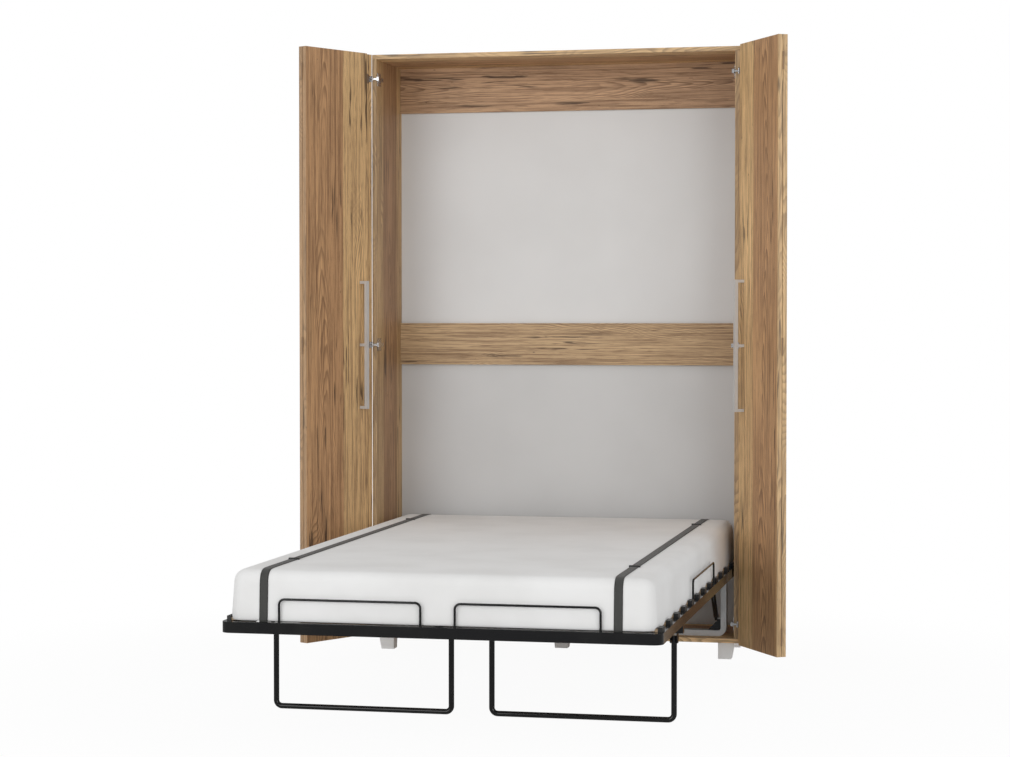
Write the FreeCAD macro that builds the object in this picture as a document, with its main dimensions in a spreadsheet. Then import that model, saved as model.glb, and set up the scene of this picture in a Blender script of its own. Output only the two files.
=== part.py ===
"""Vertical wall bed with two folding doors, lowered and open, as separate parts in millimetres.

Axes: X to the right, Y from the room to the wall, Z up. The origin lies on the floor in the
middle of the cabinet's footprint, under the centre foot.
"""
import math
import os

import FreeCAD
import Part
import Sketcher

doc = FreeCAD.newDocument("wall_bed")
sheet = doc.addObject("Spreadsheet::Sheet", "dims")

# Driving dimensions, all in millimetres or degrees
DIMENSIONS = {
    "width": 1334, "height": 2160, "depth": 380, "board": 16, "foot_height": 60,
    "back_sheet": 3,
    "top_rail_height": 167, "mid_rail_height": 155,
    "anchor_span": 900, "anchor_radius": 4.5, "anchor_drop": 60,
    "screw_radius": 3.5, "screw_length": 50, "screw_inset": 60,
    "foot_top": 57, "foot_sole": 46, "foot_inset": 17,
    "pivot_setback": 80, "pivot_level": 309, "bolt_radius": 6, "bush_radius": 9,
    "running_fit": 0.05,
    "bolt_head_radius": 10, "bolt_head_length": 8,
    "rail_width": 25, "rail_height": 32, "rail_wall": 2, "rail_corner": 30,
    "post_width": 20, "post_depth": 40, "post_gap": 4, "post_clear": 2, "post_corner": 30,
    "gusset": 46, "gusset_thick": 4, "gusset_tip": 3,
    "beam_width": 24,
    "cross_height": 24, "cross_width": 24,
    "slat_width": 40, "slat_thick": 8, "slat_first": 70, "slat_last": 70,
    "slat_end_gap": 8, "holder_width": 46, "holder_length": 13, "holder_height": 12,
    "centre_holder_length": 44,
    "head_bar_depth": 30,
    "wire_radius": 3.5, "wire_bend": 16, "wire_height": 68,
    "side_wire_span": 530,
    "mattress_height": 135,
    "mattress_corner": 60, "crown": 8, "crown_inset": 92, "side_draw": 16, "mattress_foot_gap": 19,
    "strap_width": 25, "strap_thick": 2, "seat_gap": 0.3,
    "slider_length": 12, "slider_width": 33, "slider_height": 5,
    "slider_foot": 300, "slider_head": 290,
    "leg_radius": 8.5, "leg_bend": 18,
    "leg_top": 10, "leg_hang": 18, "leg_pin_radius": 4, "cheek_thick": 3, "cheek_gap": 0.5, "cheek_half": 13,
    "spring_arm": 170, "spring_angle": 75, "spring_shift_angle": 8, "spring_plane": 16,
    "spring_radius": 9, "spring_body": 168, "rod_radius": 4, "rod_clear": 0.3, "eye_length": 10,
    "bore_floor": 3, "rod_start": 8, "pin_end": 2, "slot_spare": 0.6,
    "slot_half": 12, "spring_pin": 4, "bracket_half": 14, "bracket_thick": 5,
    "door_gap": 8, "edge_over": 2, "back_offset": 4, "leaf_gap": 2,
    "left_open_angle": 119, "right_open_angle": 121,
    "cup_radius": 17.5, "cup_depth": 12, "cup_inset": 24, "cup_plate": 1.5,
    "knuckle_radius": 3.6, "knuckle_spare": 0.6, "door_pin_radius": 2, "knuckle_height": 7,
    "plate_thick": 3, "plate_depth": 44, "plate_height": 46, "plate_setback": 32,
    "arm_thick": 8, "arm_height": 14, "arm_depth": 66, "strap_plate": 2,
    "fold_radius": 2.6, "fold_pin": 1.2, "fold_height": 20, "fold_plate": 0.8, "fold_plate_width": 22,
    "handle_length": 460, "handle_width": 12, "handle_standoff": 30, "handle_inset": 34, "handle_post": 10,
    "bed_clear": 4, "foot_clear": 8, "head_clear": 11, "leg_setback": 448,
    "mattress_side_gap": 20, "mattress_head_gap": 30, "strap_inset": 107, "door_spare": 13,
    "hinge_top_drop": 88, "hinge_bottom_rise": 68, "beam_overlap": 5, "back_recess": 20,
}
# Sizes that follow from the ones above
DERIVED = {
    "bed_width": "=width - 2 * board - 2 * bed_clear",
    "foot_reach": "=height - board - pivot_level - foot_clear",
    "back_setback": "=depth - back_recess",
    "head_reach": "=min(pivot_level - foot_height - board; back_setback - pivot_setback) - head_clear",
    "cross_reach": "=foot_reach - leg_setback",
    "beam_head_reach": "=head_reach - head_bar_depth + beam_overlap",
    "post_back": "=rail_height / 2 - post_clear",
    "mid_rail_level": "=(height + foot_height) / 2",
    "mattress_width": "=bed_width - 2 * mattress_side_gap",
    "mattress_length": "=foot_reach + head_reach - mattress_foot_gap - mattress_head_gap",
    "mattress_lift": "=pivot_level + rail_height / 2 + slat_thick + seat_gap",
    "strap_offset": "=mattress_width / 2 - strap_inset",
    "foot_wire_offset": "=bed_width * 0.2015",
    "foot_wire_span": "=bed_width * 0.325",
    "side_wire_reach": "=foot_reach * 0.44",
    "leg_offset": "=bed_width * 0.2634",
    "leg_span": "=bed_width * 0.4294",
    "leg_pivot_level": "=pivot_level - rail_height / 2 - cross_height - leg_hang",
    "outer_width": "=(width / 2 - door_spare) * 0.532",
    "inner_width": "=width / 2 - door_spare - outer_width",
    "hinge_top": "=height - hinge_top_drop",
    "hinge_middle": "=(height + foot_height) / 2",
    "hinge_bottom": "=foot_height + hinge_bottom_rise",
    "handle_level": "=(height + foot_height) / 2",
    "handle_pitch": "=(handle_length - handle_post) / 2",
}
for row, (alias, value) in enumerate({**DIMENSIONS, **DERIVED}.items(), start=1):
    sheet.set("A%d" % row, alias.replace("_", " "))
    sheet.set("B%d" % row, str(value))
    sheet.setAlias("B%d" % row, alias)
doc.recompute()

SLAT_ROWS = 13
SIDES = {"left": -1, "right": 1}
LEVELS = ("dims.hinge_top", "dims.hinge_middle", "dims.hinge_bottom")

# Derived places used by many pieces
FRONT = "(0 - dims.depth / 2)"
INNER = "(dims.width - 2 * dims.board)"
CARCASS_TOP = "(dims.height - dims.board)"
CARCASS_FLOOR = "(dims.foot_height + dims.board)"
PIVOT_Y = "(%s + dims.pivot_setback)" % FRONT
PIVOT_Z = "dims.pivot_level"
RAIL_TOP = "(dims.pivot_level + dims.rail_height / 2)"
FOOT_Y = "(%s - dims.foot_reach)" % PIVOT_Y
HEAD_Y = "(%s + dims.head_reach)" % PIVOT_Y
RAIL_X = "(dims.bed_width / 2 - dims.rail_width / 2)"
RAIL_INNER_X = "(dims.bed_width / 2 - dims.rail_width)"
POST_X = "(%s - dims.post_gap - dims.post_width / 2)" % RAIL_INNER_X
POST_INNER_X = "(%s - dims.post_gap - dims.post_width)" % RAIL_INNER_X
POST_BACK_Y = "(%s + dims.post_back)" % PIVOT_Y
POST_Y = "(%s - dims.post_depth / 2)" % POST_BACK_Y
SPRING_X = "(%s - dims.spring_plane)" % POST_INNER_X
CROSS_Y = "(%s - dims.cross_reach)" % PIVOT_Y
MATTRESS_TOP = "(dims.mattress_lift + dims.mattress_height + dims.crown)"
MATTRESS_FOOT = "(%s + dims.mattress_foot_gap)" % FOOT_Y
MATTRESS_HEAD = "(%s + dims.mattress_length)" % MATTRESS_FOOT

parts = []
counter = 0


def unique(stem):
    """Return an internal name that no other object in the document has."""
    global counter
    counter += 1
    return "%s_%d" % (stem, counter)


def place(item, where, axis=None, angle=0):
    """Bind an object's position to expressions and turn it about one axis."""
    if axis is not None:
        item.Placement = FreeCAD.Placement(
            FreeCAD.Vector(0, 0, 0), FreeCAD.Rotation(FreeCAD.Vector(*axis), angle))
    for letter, expression in zip("xyz", where):
        item.setExpression("Placement.Base." + letter, str(expression))
    return item


def block(size, centre):
    """Box with bound sides, placed by its centre."""
    item = doc.addObject("Part::Box", unique("block"))
    for side, expression in zip(("Length", "Width", "Height"), size):
        item.setExpression(side, str(expression))
    corner = ["%s - (%s) / 2" % (middle, side) for middle, side in zip(centre, size)]
    return place(item, corner)


TURNS = {"x": ((0, 1, 0), 90), "y": ((1, 0, 0), -90), "z": (None, 0)}


def rod(radius, length, base, along="z"):
    """Cylinder with bound radius and length, starting at base and running along one axis."""
    item = doc.addObject("Part::Cylinder", unique("rod"))
    item.setExpression("Radius", str(radius))
    item.setExpression("Height", str(length))
    axis, angle = TURNS[along]
    return place(item, base, axis, angle)


def centred_rod(radius, length, centre, along):
    """Cylinder placed by the middle of its length."""
    shift = {"x": 0, "y": 1, "z": 2}[along]
    base = list(centre)
    base[shift] = "%s - (%s) / 2" % (base[shift], length)
    return rod(radius, length, base, along)


def fused(items):
    """One solid joined from several touching pieces."""
    if len(items) == 1:
        return items[0]
    item = doc.addObject("Part::MultiFuse", unique("fused"))
    item.Shapes = items
    item.Refine = True
    return item


def grouped(items):
    """Separate solids kept together."""
    item = doc.addObject("Part::Compound", unique("group"))
    item.Links = items
    return item


def cut(base, tools):
    """Base with every tool taken away."""
    item = doc.addObject("Part::Cut", unique("cut"))
    item.Base = base
    item.Tool = tools[0] if len(tools) == 1 else grouped(tools)
    return item


def part(name, item):
    """Name one finished piece; its label is the name of the written file."""
    item.Label = name
    parts.append(item)
    return item


# Cabinet boards with their screws
def cabinet_screws(level_expression, up):
    """Four screws through the top or the bottom board into the ends of the sides."""
    screws = []
    for side in SIDES.values():
        for end in (-1, 1):
            x = "%d * (dims.width / 2 - dims.board / 2)" % side
            y = "%d * (dims.depth / 2 - dims.screw_inset)" % end
            z = level_expression if up else "%s - dims.screw_length" % level_expression
            screws.append(rod("dims.screw_radius", "dims.screw_length", (x, y, z)))
    return screws


screw_set = cabinet_screws("dims.height", False) + cabinet_screws("dims.foot_height", True)
part("cabinet_screws", grouped(screw_set))
for name, level in (("top_panel", "dims.height - dims.board / 2"),
                    ("bottom_panel", "dims.foot_height + dims.board / 2")):
    part(name, cut(block(("dims.width", "dims.depth", "dims.board"), ("0", "0", level)), screw_set))
for word, side in SIDES.items():
    panel = block(("dims.board", "dims.depth", "%s - %s" % (CARCASS_TOP, CARCASS_FLOOR)),
                  ("%d * (dims.width - dims.board) / 2" % side, "0",
                   "(%s + %s) / 2" % (CARCASS_TOP, CARCASS_FLOOR)))
    part("side_%s" % word, cut(panel, screw_set))

# Back sheets and the two boards across the back
BACK_Y = "%s + dims.back_setback + dims.back_sheet / 2" % FRONT
RAIL_BOARD_Y = "%s + dims.back_setback - dims.board / 2" % FRONT
part("back_lower", block((INNER, "dims.back_sheet", "dims.mid_rail_level - %s" % CARCASS_FLOOR),
                         ("0", BACK_Y, "(dims.mid_rail_level + %s) / 2" % CARCASS_FLOOR)))
anchor_holes = [
    centred_rod("dims.anchor_radius", "4 * dims.board",
                ("%d * dims.anchor_span / 2" % side, RAIL_BOARD_Y, "%s - dims.anchor_drop" % CARCASS_TOP),
                "y")
    for side in SIDES.values()]
top_rail = block((INNER, "dims.board", "dims.top_rail_height"),
                 ("0", RAIL_BOARD_Y, "%s - dims.top_rail_height / 2" % CARCASS_TOP))
part("rear_rail_top", cut(top_rail, anchor_holes))
upper_sheet = block((INNER, "dims.back_sheet", "%s - dims.mid_rail_level" % CARCASS_TOP),
                    ("0", BACK_Y, "(%s + dims.mid_rail_level) / 2" % CARCASS_TOP))
part("back_upper", cut(upper_sheet, anchor_holes))
part("rear_rail_middle", block((INNER, "dims.board", "dims.mid_rail_height"),
                               ("0", RAIL_BOARD_Y, "dims.mid_rail_level")))


# Five tapered feet
def foot(name, x, y, lean):
    """Square foot, narrower at the floor; a corner foot keeps its outer faces upright."""
    item = doc.addObject("Part::Wedge", unique("foot"))
    taper = "(dims.foot_top - dims.foot_sole)"
    item.setExpression("Ymax", "dims.foot_height")
    for letter, share in zip("XZ", lean):
        item.setExpression(letter + "min", "0 - dims.foot_top / 2")
        item.setExpression(letter + "max", "dims.foot_top / 2")
        item.setExpression(letter + "2min", "0 - dims.foot_top / 2 + %s * %s" % (share, taper))
        item.setExpression(letter + "2max", "dims.foot_top / 2 - %s * (1 - %s)" % (taper, share))
    place(item, (x, y, "dims.foot_height"), (1, 0, 0), -90)
    part(name, item)


FOOT_X = "(dims.width / 2 - dims.foot_inset - dims.foot_top / 2)"
FOOT_PLACE_Y = "(dims.depth / 2 - dims.foot_inset - dims.foot_top / 2)"
for word, side in SIDES.items():
    for end_word, end in (("front", -1), ("back", 1)):
        foot("foot_%s_%s" % (end_word, word), "%d * %s" % (side, FOOT_X), "%d * %s" % (end, FOOT_PLACE_Y),
             ((1 - side) / 2, (1 + end) / 2))
foot("foot_centre", "0", "0", (0.5, 0.5))


# Steel support frame: two posts and a floor bar bent from one tube, with corner gussets
def corner_ring(outer, inner, height, centre, axis, angle):
    """Quarter of a ring with a square section."""
    pieces = []
    for radius in (outer, inner):
        item = doc.addObject("Part::Cylinder", unique("quarter"))
        item.setExpression("Radius", str(radius))
        item.setExpression("Height", str(height))
        item.Angle = 90
        pieces.append(item)
    ring = cut(pieces[0], [pieces[1]])
    return place(ring, centre, axis, angle)


POST_OUTER_X = "(%s + dims.post_width / 2)" % POST_X
BEND_X = "(%s - dims.post_corner)" % POST_OUTER_X
BEND_Z = "(%s + dims.post_corner)" % CARCASS_FLOOR
tube = [block(("2 * %s" % BEND_X, "dims.post_depth", "dims.post_width"),
              ("0", POST_Y, "%s + dims.post_width / 2" % CARCASS_FLOOR))]
bolt_holes = []
bolts = []
for side in SIDES.values():
    post_top = "(%s + dims.post_back)" % PIVOT_Z
    tube.append(block(("dims.post_width", "dims.post_depth - dims.post_back", "%s - %s" % (post_top, BEND_Z)),
                      ("%d * %s" % (side, POST_X), "%s - dims.post_back / 2" % POST_Y,
                       "(%s + %s) / 2" % (post_top, BEND_Z))))
    tube.append(block(("dims.post_width", "dims.post_back", "%s - %s" % (PIVOT_Z, BEND_Z)),
                      ("%d * %s" % (side, POST_X), "%s + dims.post_back / 2" % PIVOT_Y,
                       "(%s + %s) / 2" % (PIVOT_Z, BEND_Z))))
    tube.append(centred_rod("dims.post_back", "dims.post_width",
                            ("%d * %s" % (side, POST_X), PIVOT_Y, PIVOT_Z), "x"))
    # The bend lies in the upright plane, so the ring is turned about X
    ring = corner_ring("dims.post_corner", "dims.post_corner - dims.post_width", "dims.post_depth",
                       ("%d * %s" % (side, BEND_X), POST_BACK_Y, BEND_Z), (1, 0, 0), 90)
    base = FreeCAD.Rotation(FreeCAD.Vector(1, 0, 0), 90)
    spin = FreeCAD.Rotation(FreeCAD.Vector(0, 0, 1), 180 if side < 0 else -90)
    ring.Placement.Rotation = base.multiply(spin)
    tube.append(ring)
    bolt_holes.append(centred_rod("dims.bolt_radius", "4 * dims.post_width",
                                  ("%d * %s" % (side, POST_X), PIVOT_Y, PIVOT_Z), "x"))
    shank = "(dims.rail_width + dims.post_gap + dims.post_width)"
    bolts.append(fused([
        centred_rod("dims.bolt_radius", "%s" % shank,
                    ("%d * (%s + %s / 2)" % (side, POST_INNER_X, shank), PIVOT_Y, PIVOT_Z), "x"),
        centred_rod("dims.bolt_head_radius", "dims.bolt_head_length",
                    ("%d * (%s - dims.bolt_head_length / 2)" % (side, POST_INNER_X), PIVOT_Y, PIVOT_Z),
                    "x")]))
support_tube = fused(tube)
part("support_frame", cut(support_tube, bolt_holes))
part("pivot_bolts", grouped(bolts))
gussets = []
for side in SIDES.values():
    item = doc.addObject("Part::Wedge", unique("gusset"))
    for prop, expression in (("Xmin", "0"), ("Xmax", "dims.gusset"),
                             ("X2min", "dims.gusset - dims.gusset_tip"), ("X2max", "dims.gusset"),
                             ("Ymin", "0"), ("Ymax", "dims.gusset"),
                             ("Zmin", "0"), ("Zmax", "dims.gusset_thick"), ("Z2min", "0"),
                             ("Z2max", "dims.gusset_thick")):
        item.setExpression(prop, expression)
    # The plate stands on the floor bar, its upright edge against the post
    turn = FreeCAD.Rotation(FreeCAD.Vector(1, 0, 0), 90)
    if side < 0:
        turn = FreeCAD.Rotation(FreeCAD.Vector(0, 0, 1), 180).multiply(turn)
    item.Placement = FreeCAD.Placement(FreeCAD.Vector(0, 0, 0), turn)
    place(item, ("%d * (%s - dims.gusset)" % (side, POST_INNER_X),
                 "%s + %d * dims.gusset_thick / 2" % (POST_Y, side),
                 "%s + dims.post_width" % CARCASS_FLOOR))
    gussets.append(item)
part("support_gussets", cut(grouped(gussets), [support_tube]))


# Bed frame: two bent half frames of rectangular tube that meet at the foot
def half_frame(side, inset):
    """Side rail, bent corner and half of the foot rail; inset gives the hollow inside."""
    wide = "(dims.rail_width - 2 * %s)" % inset
    high = "(dims.rail_height - 2 * %s)" % inset
    bend_x = "(dims.bed_width / 2 - dims.rail_corner)"
    bend_y = "(%s + dims.rail_corner)" % FOOT_Y
    run = "(%s - %s - %s)" % (HEAD_Y, bend_y, inset)
    rail = block((wide, run, high), ("%d * %s" % (side, RAIL_X), "%s + %s / 2" % (bend_y, run), PIVOT_Z))
    foot_rail = block((bend_x, wide, high),
                      ("%d * %s / 2" % (side, bend_x), "%s + dims.rail_width / 2" % FOOT_Y, PIVOT_Z))
    outer_bend = "dims.rail_corner - %s" % inset
    inner_bend = "dims.rail_corner - dims.rail_width + %s" % inset
    bend = corner_ring(outer_bend, inner_bend, high,
                       ("%d * %s" % (side, bend_x), bend_y, "%s - %s / 2" % (PIVOT_Z, high)),
                       (0, 0, 1), -90 if side > 0 else 180)
    return fused([rail, foot_rail, bend])


bushes = []
for word, side in SIDES.items():
    centre = ("%d * %s" % (side, RAIL_X), PIVOT_Y, PIVOT_Z)
    bush_body = centred_rod("dims.bush_radius", "dims.rail_width", centre, "x")
    bush_bore = centred_rod("dims.bolt_radius + dims.running_fit", "2 * dims.rail_width", centre, "x")
    bushes.append(cut(bush_body, [bush_bore]))
    hollow = half_frame(side, "dims.rail_wall")
    part("frame_%s" % word, cut(half_frame(side, "0"), [hollow, bush_body]))
part("pivot_bushes", grouped(bushes))
part("frame_joiner", block(("5 * dims.rail_width", "dims.rail_width - 2 * dims.rail_wall - 2 * dims.seat_gap",
                            "dims.rail_height - 2 * dims.rail_wall - 2 * dims.seat_gap"),
                           ("0", "%s + dims.rail_width / 2" % FOOT_Y, PIVOT_Z)))
part("head_bar", block(("dims.bed_width", "dims.head_bar_depth", "dims.slat_thick"),
                       ("0", "%s - dims.head_bar_depth / 2" % HEAD_Y, "%s + dims.slat_thick / 2" % RAIL_TOP)))
BEAM_FOOT = "(%s + dims.rail_width)" % FOOT_Y
BEAM_HEAD = "(%s + dims.beam_head_reach)" % PIVOT_Y
part("centre_beam", block(("dims.beam_width", "%s - %s" % (BEAM_HEAD, BEAM_FOOT), "dims.rail_height"),
                          ("0", "(%s + %s) / 2" % (BEAM_HEAD, BEAM_FOOT), PIVOT_Z)))
CROSS_TOP = "(%s - dims.rail_height)" % RAIL_TOP
part("cross_bar", block(("dims.bed_width", "dims.cross_width", "dims.cross_height"),
                        ("0", CROSS_Y, "%s - dims.cross_height / 2" % CROSS_TOP)))

# Slats in their holders, two slats to a row
slats = []
side_holders = []
centre_holders = []
FIRST_Y = "(%s + dims.slat_first)" % FOOT_Y
LAST_Y = "(%s - dims.slat_last)" % HEAD_Y
HOLDER_Z = "%s + dims.holder_height / 2" % RAIL_TOP
slat_length = "(dims.bed_width / 2 - 2 * dims.slat_end_gap)"
for index in range(SLAT_ROWS):
    y = "(%s + (%s - %s) * %d / %d)" % (FIRST_Y, LAST_Y, FIRST_Y, index, SLAT_ROWS - 1)
    for side in SIDES.values():
        slats.append(block((slat_length, "dims.slat_width", "dims.slat_thick"),
                           ("%d * dims.bed_width / 4" % side, y,
                            "%s + dims.slat_thick / 2" % RAIL_TOP)))
        side_holders.append(block(("dims.holder_length", "dims.holder_width", "dims.holder_height"),
                                  ("%d * %s" % (side, RAIL_X), y, HOLDER_Z)))
    centre_holders.append(block(("dims.centre_holder_length", "dims.holder_width", "dims.slat_thick"),
                                ("0", y, "%s + dims.slat_thick / 2" % RAIL_TOP)))
part("slats", grouped(slats))
part("slat_holders_side", cut(grouped(side_holders), [grouped(slats)]))
part("slat_holders_centre", cut(grouped(centre_holders), [grouped(slats)]))


# Round bar bent to a U, used for the mattress stops and the legs
def u_bar(radius, span, drop, bend):
    """U with its cross bar along X at the origin and both arms pointing down."""
    pieces = [centred_rod(radius, "%s - 2 * %s" % (span, bend), ("0", "0", "0"), "x")]
    for side in (-1, 1):
        arm = rod(radius, "%s - %s" % (drop, bend), ("%d * %s / 2" % (side, span), "0", "0 - %s" % drop))
        arm.Placement.Rotation = FreeCAD.Rotation(FreeCAD.Vector(0, 0, 1), 90)
        pieces.append(arm)
        elbow = doc.addObject("Part::Torus", unique("elbow"))
        elbow.setExpression("Radius1", str(bend))
        elbow.setExpression("Radius2", str(radius))
        elbow.Angle3 = 90
        lay = FreeCAD.Rotation(FreeCAD.Vector(1, 0, 0), 90)
        spin = FreeCAD.Rotation(FreeCAD.Vector(0, 0, 1), 0 if side > 0 else 90)
        elbow.Placement = FreeCAD.Placement(FreeCAD.Vector(0, 0, 0), lay.multiply(spin))
        place(elbow, ("%d * (%s / 2 - %s)" % (side, span, bend), "0", "0 - %s" % bend))
        pieces.append(elbow)
    return fused(pieces)


WIRE_Z = "%s + dims.wire_height" % RAIL_TOP
for word, side in SIDES.items():
    stop = u_bar("dims.wire_radius", "dims.foot_wire_span", "dims.wire_height", "dims.wire_bend")
    place(stop, ("%d * dims.foot_wire_offset" % side, "%s + dims.rail_width / 2" % FOOT_Y, WIRE_Z))
    part("stop_foot_%s" % word, stop)
    stop = u_bar("dims.wire_radius", "dims.side_wire_span", "dims.wire_height", "dims.wire_bend")
    place(stop, ("%d * %s" % (side, RAIL_X), "%s - dims.side_wire_reach" % PIVOT_Y, WIRE_Z), (0, 0, 1), 90)
    part("stop_side_%s" % word, stop)

# Folding legs hung from the cross bar
cheeks = []
CHEEK_TOP = "(%s - dims.cross_height)" % CROSS_TOP
for word, side in SIDES.items():
    leg = u_bar("dims.leg_radius", "dims.leg_span", "(dims.leg_pivot_level + dims.leg_top - dims.leg_radius)",
                "dims.leg_bend")
    place(leg, ("%d * dims.leg_offset" % side, CROSS_Y, "dims.leg_radius"), (1, 0, 0), 180)
    bores = []
    for arm in (-1, 1):
        x = "(%d * dims.leg_offset + %d * dims.leg_span / 2)" % (side, arm)
        bores.append(centred_rod("dims.leg_pin_radius + dims.running_fit", "8 * dims.leg_radius",
                                 (x, CROSS_Y, "dims.leg_pivot_level"), "x"))
        half = "(dims.leg_radius + dims.cheek_gap)"
        pin = centred_rod("dims.leg_pin_radius", "2 * %s + 2 * dims.cheek_thick" % half,
                          (x, CROSS_Y, "dims.leg_pivot_level"), "x")
        pieces = [pin]
        for face in (-1, 1):
            cheek_x = "%s + %d * (%s + dims.cheek_thick / 2)" % (x, face, half)
            cheek_height = "%s - dims.leg_pivot_level" % CHEEK_TOP
            pieces.append(block(("dims.cheek_thick", "2 * dims.cheek_half", cheek_height),
                                (cheek_x, CROSS_Y, "(%s + dims.leg_pivot_level) / 2" % CHEEK_TOP)))
            pieces.append(centred_rod("dims.cheek_half", "dims.cheek_thick",
                                      (cheek_x, CROSS_Y, "dims.leg_pivot_level"), "x"))
        cheeks.append(fused(pieces))
    part("leg_%s" % word, cut(leg, bores))
part("leg_brackets", grouped(cheeks))


# Mattress: lofted through rounded outlines, drawn in at the edges and crowned on top
def outline(level, inset):
    """Rounded rectangle of the mattress at one level, drawn in by inset on every side."""
    sketch = doc.addObject("Sketcher::SketchObject", unique("outline"))
    half_x, half_y, bend = 300.0, 500.0, 60.0
    points = ((half_x, -half_y), (half_x, half_y), (-half_x, half_y), (-half_x, -half_y))
    starts = ((-half_x + bend, -half_y), (half_x, -half_y + bend),
              (half_x - bend, half_y), (-half_x, half_y - bend))
    ends = ((half_x - bend, -half_y), (half_x, half_y - bend),
            (-half_x + bend, half_y), (-half_x, -half_y + bend))
    for start, end in zip(starts, ends):
        sketch.addGeometry(Part.LineSegment(FreeCAD.Vector(*start, 0), FreeCAD.Vector(*end, 0)), False)
    for index, (x, y) in enumerate(points):
        middle = FreeCAD.Vector(x - bend * (1 if x > 0 else -1), y - bend * (1 if y > 0 else -1), 0)
        circle = Part.Circle(middle, FreeCAD.Vector(0, 0, 1), bend)
        first = (index - 1) * math.pi / 2
        sketch.addGeometry(Part.ArcOfCircle(circle, first, first + math.pi / 2), False)
    for index in range(4):
        sketch.addConstraint(Sketcher.Constraint("Tangent", index, 2, 4 + index, 1))
        sketch.addConstraint(Sketcher.Constraint("Tangent", 4 + index, 2, (index + 1) % 4, 1))
    for index, word in enumerate(("Horizontal", "Vertical", "Horizontal", "Vertical")):
        sketch.addConstraint(Sketcher.Constraint(word, index))
    for index in (5, 6, 7):
        sketch.addConstraint(Sketcher.Constraint("Equal", 4, index))
    sketch.addConstraint(Sketcher.Constraint("Symmetric", 4, 3, 6, 3, -1, 1))
    sizes = (("Radius", (4,), bend, "dims.mattress_corner"),
             ("DistanceX", (3, 1, 1, 1), 2 * half_x, "dims.mattress_width - 2 * (%s)" % inset),
             ("DistanceY", (0, 1, 2, 1), 2 * half_y, "dims.mattress_length - 2 * (%s)" % inset))
    for word, elements, value, expression in sizes:
        number = sketch.addConstraint(Sketcher.Constraint(word, *elements, value))
        sketch.setExpression("Constraints[%d]" % number, expression)
    return place(sketch, ("0", "(%s + %s) / 2" % (MATTRESS_FOOT, MATTRESS_HEAD), level))


LAYERS = ((0, "dims.side_draw / 3"), (0.14, "dims.side_draw / 8"), (0.5, "0"), (0.86, "dims.side_draw / 3"),
          (1, "dims.side_draw"))
sections = [outline("dims.mattress_lift + %s * dims.mattress_height" % share, inset)
            for share, inset in LAYERS]
sections.append(outline("%s - 0.28 * dims.crown" % MATTRESS_TOP, "dims.crown_inset / 2"))
sections.append(outline(MATTRESS_TOP, "dims.crown_inset"))
mattress = doc.addObject("Part::Loft", unique("mattress"))
mattress.Sections = sections
mattress.Solid = True
part("mattress", mattress)

# Two webbing straps over the mattress, each with two slide buckles
STRAP_Z = "(%s + dims.seat_gap + dims.strap_thick / 2)" % MATTRESS_TOP
STRAP_TOP = "(%s + dims.strap_thick / 2)" % STRAP_Z
STRAP_FOOT = "(%s - dims.seat_gap - dims.strap_thick)" % MATTRESS_FOOT
STRAP_HEAD = "(%s + dims.seat_gap + dims.strap_thick)" % MATTRESS_HEAD
for word, side in SIDES.items():
    x = "%d * dims.strap_offset" % side
    strap_pieces = [block(("dims.strap_width", "%s - %s" % (STRAP_HEAD, STRAP_FOOT), "dims.strap_thick"),
                          (x, "(%s + %s) / 2" % (STRAP_HEAD, STRAP_FOOT), STRAP_Z))]
    for y, end in (("%s + dims.strap_thick / 2" % STRAP_FOOT, RAIL_TOP),
                   ("%s - dims.strap_thick / 2" % STRAP_HEAD, "(%s + dims.slat_thick)" % RAIL_TOP)):
        strap_pieces.append(block(("dims.strap_width", "dims.strap_thick", "%s - %s" % (STRAP_TOP, end)),
                                  (x, y, "(%s + %s) / 2" % (STRAP_TOP, end))))
    strap = part("strap_%s" % word, fused(strap_pieces))
    sliders = [block(("dims.slider_width", "dims.slider_length", "dims.slider_height"),
                     (x, y, "%s - dims.strap_thick / 2 + dims.slider_height / 2" % STRAP_Z))
               for y in ("%s + dims.slider_foot" % MATTRESS_FOOT, "%s - dims.slider_head" % MATTRESS_HEAD)]
    part("sliders_%s" % word, cut(grouped(sliders), [grouped([strap])]))

# Gas springs between the posts and the side rails
LOWER_ANGLE = "(dims.spring_angle + dims.spring_shift_angle)"
LOWER_Y = "(%s - dims.spring_arm * cos(%s * 1 deg))" % (PIVOT_Y, LOWER_ANGLE)
LOWER_Z = "(%s - dims.spring_arm * sin(%s * 1 deg))" % (PIVOT_Z, LOWER_ANGLE)
UPPER_Y = "(%s - dims.spring_arm * cos(dims.spring_shift_angle * 1 deg))" % PIVOT_Y
UPPER_Z = "(%s - dims.spring_arm * sin(dims.spring_shift_angle * 1 deg))" % PIVOT_Z
SPRING_TILT = "(dims.spring_angle / 2 + dims.spring_shift_angle)"
SPRING_REACH = "(2 * dims.spring_arm * sin(dims.spring_angle / 2 * 1 deg) + dims.slot_half - dims.slot_spare)"


def tilted(item, side):
    """Stand a piece made along Z on the lower spring pin and lean it to the upper one."""
    item.Placement = FreeCAD.Placement(FreeCAD.Vector(0, 0, 0), FreeCAD.Rotation(FreeCAD.Vector(1, 0, 0), 45))
    item.setExpression("Placement.Rotation.Angle", "%s * 1 deg" % SPRING_TILT)
    return place(item, ("%d * %s" % (side, SPRING_X), LOWER_Y, LOWER_Z))


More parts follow.
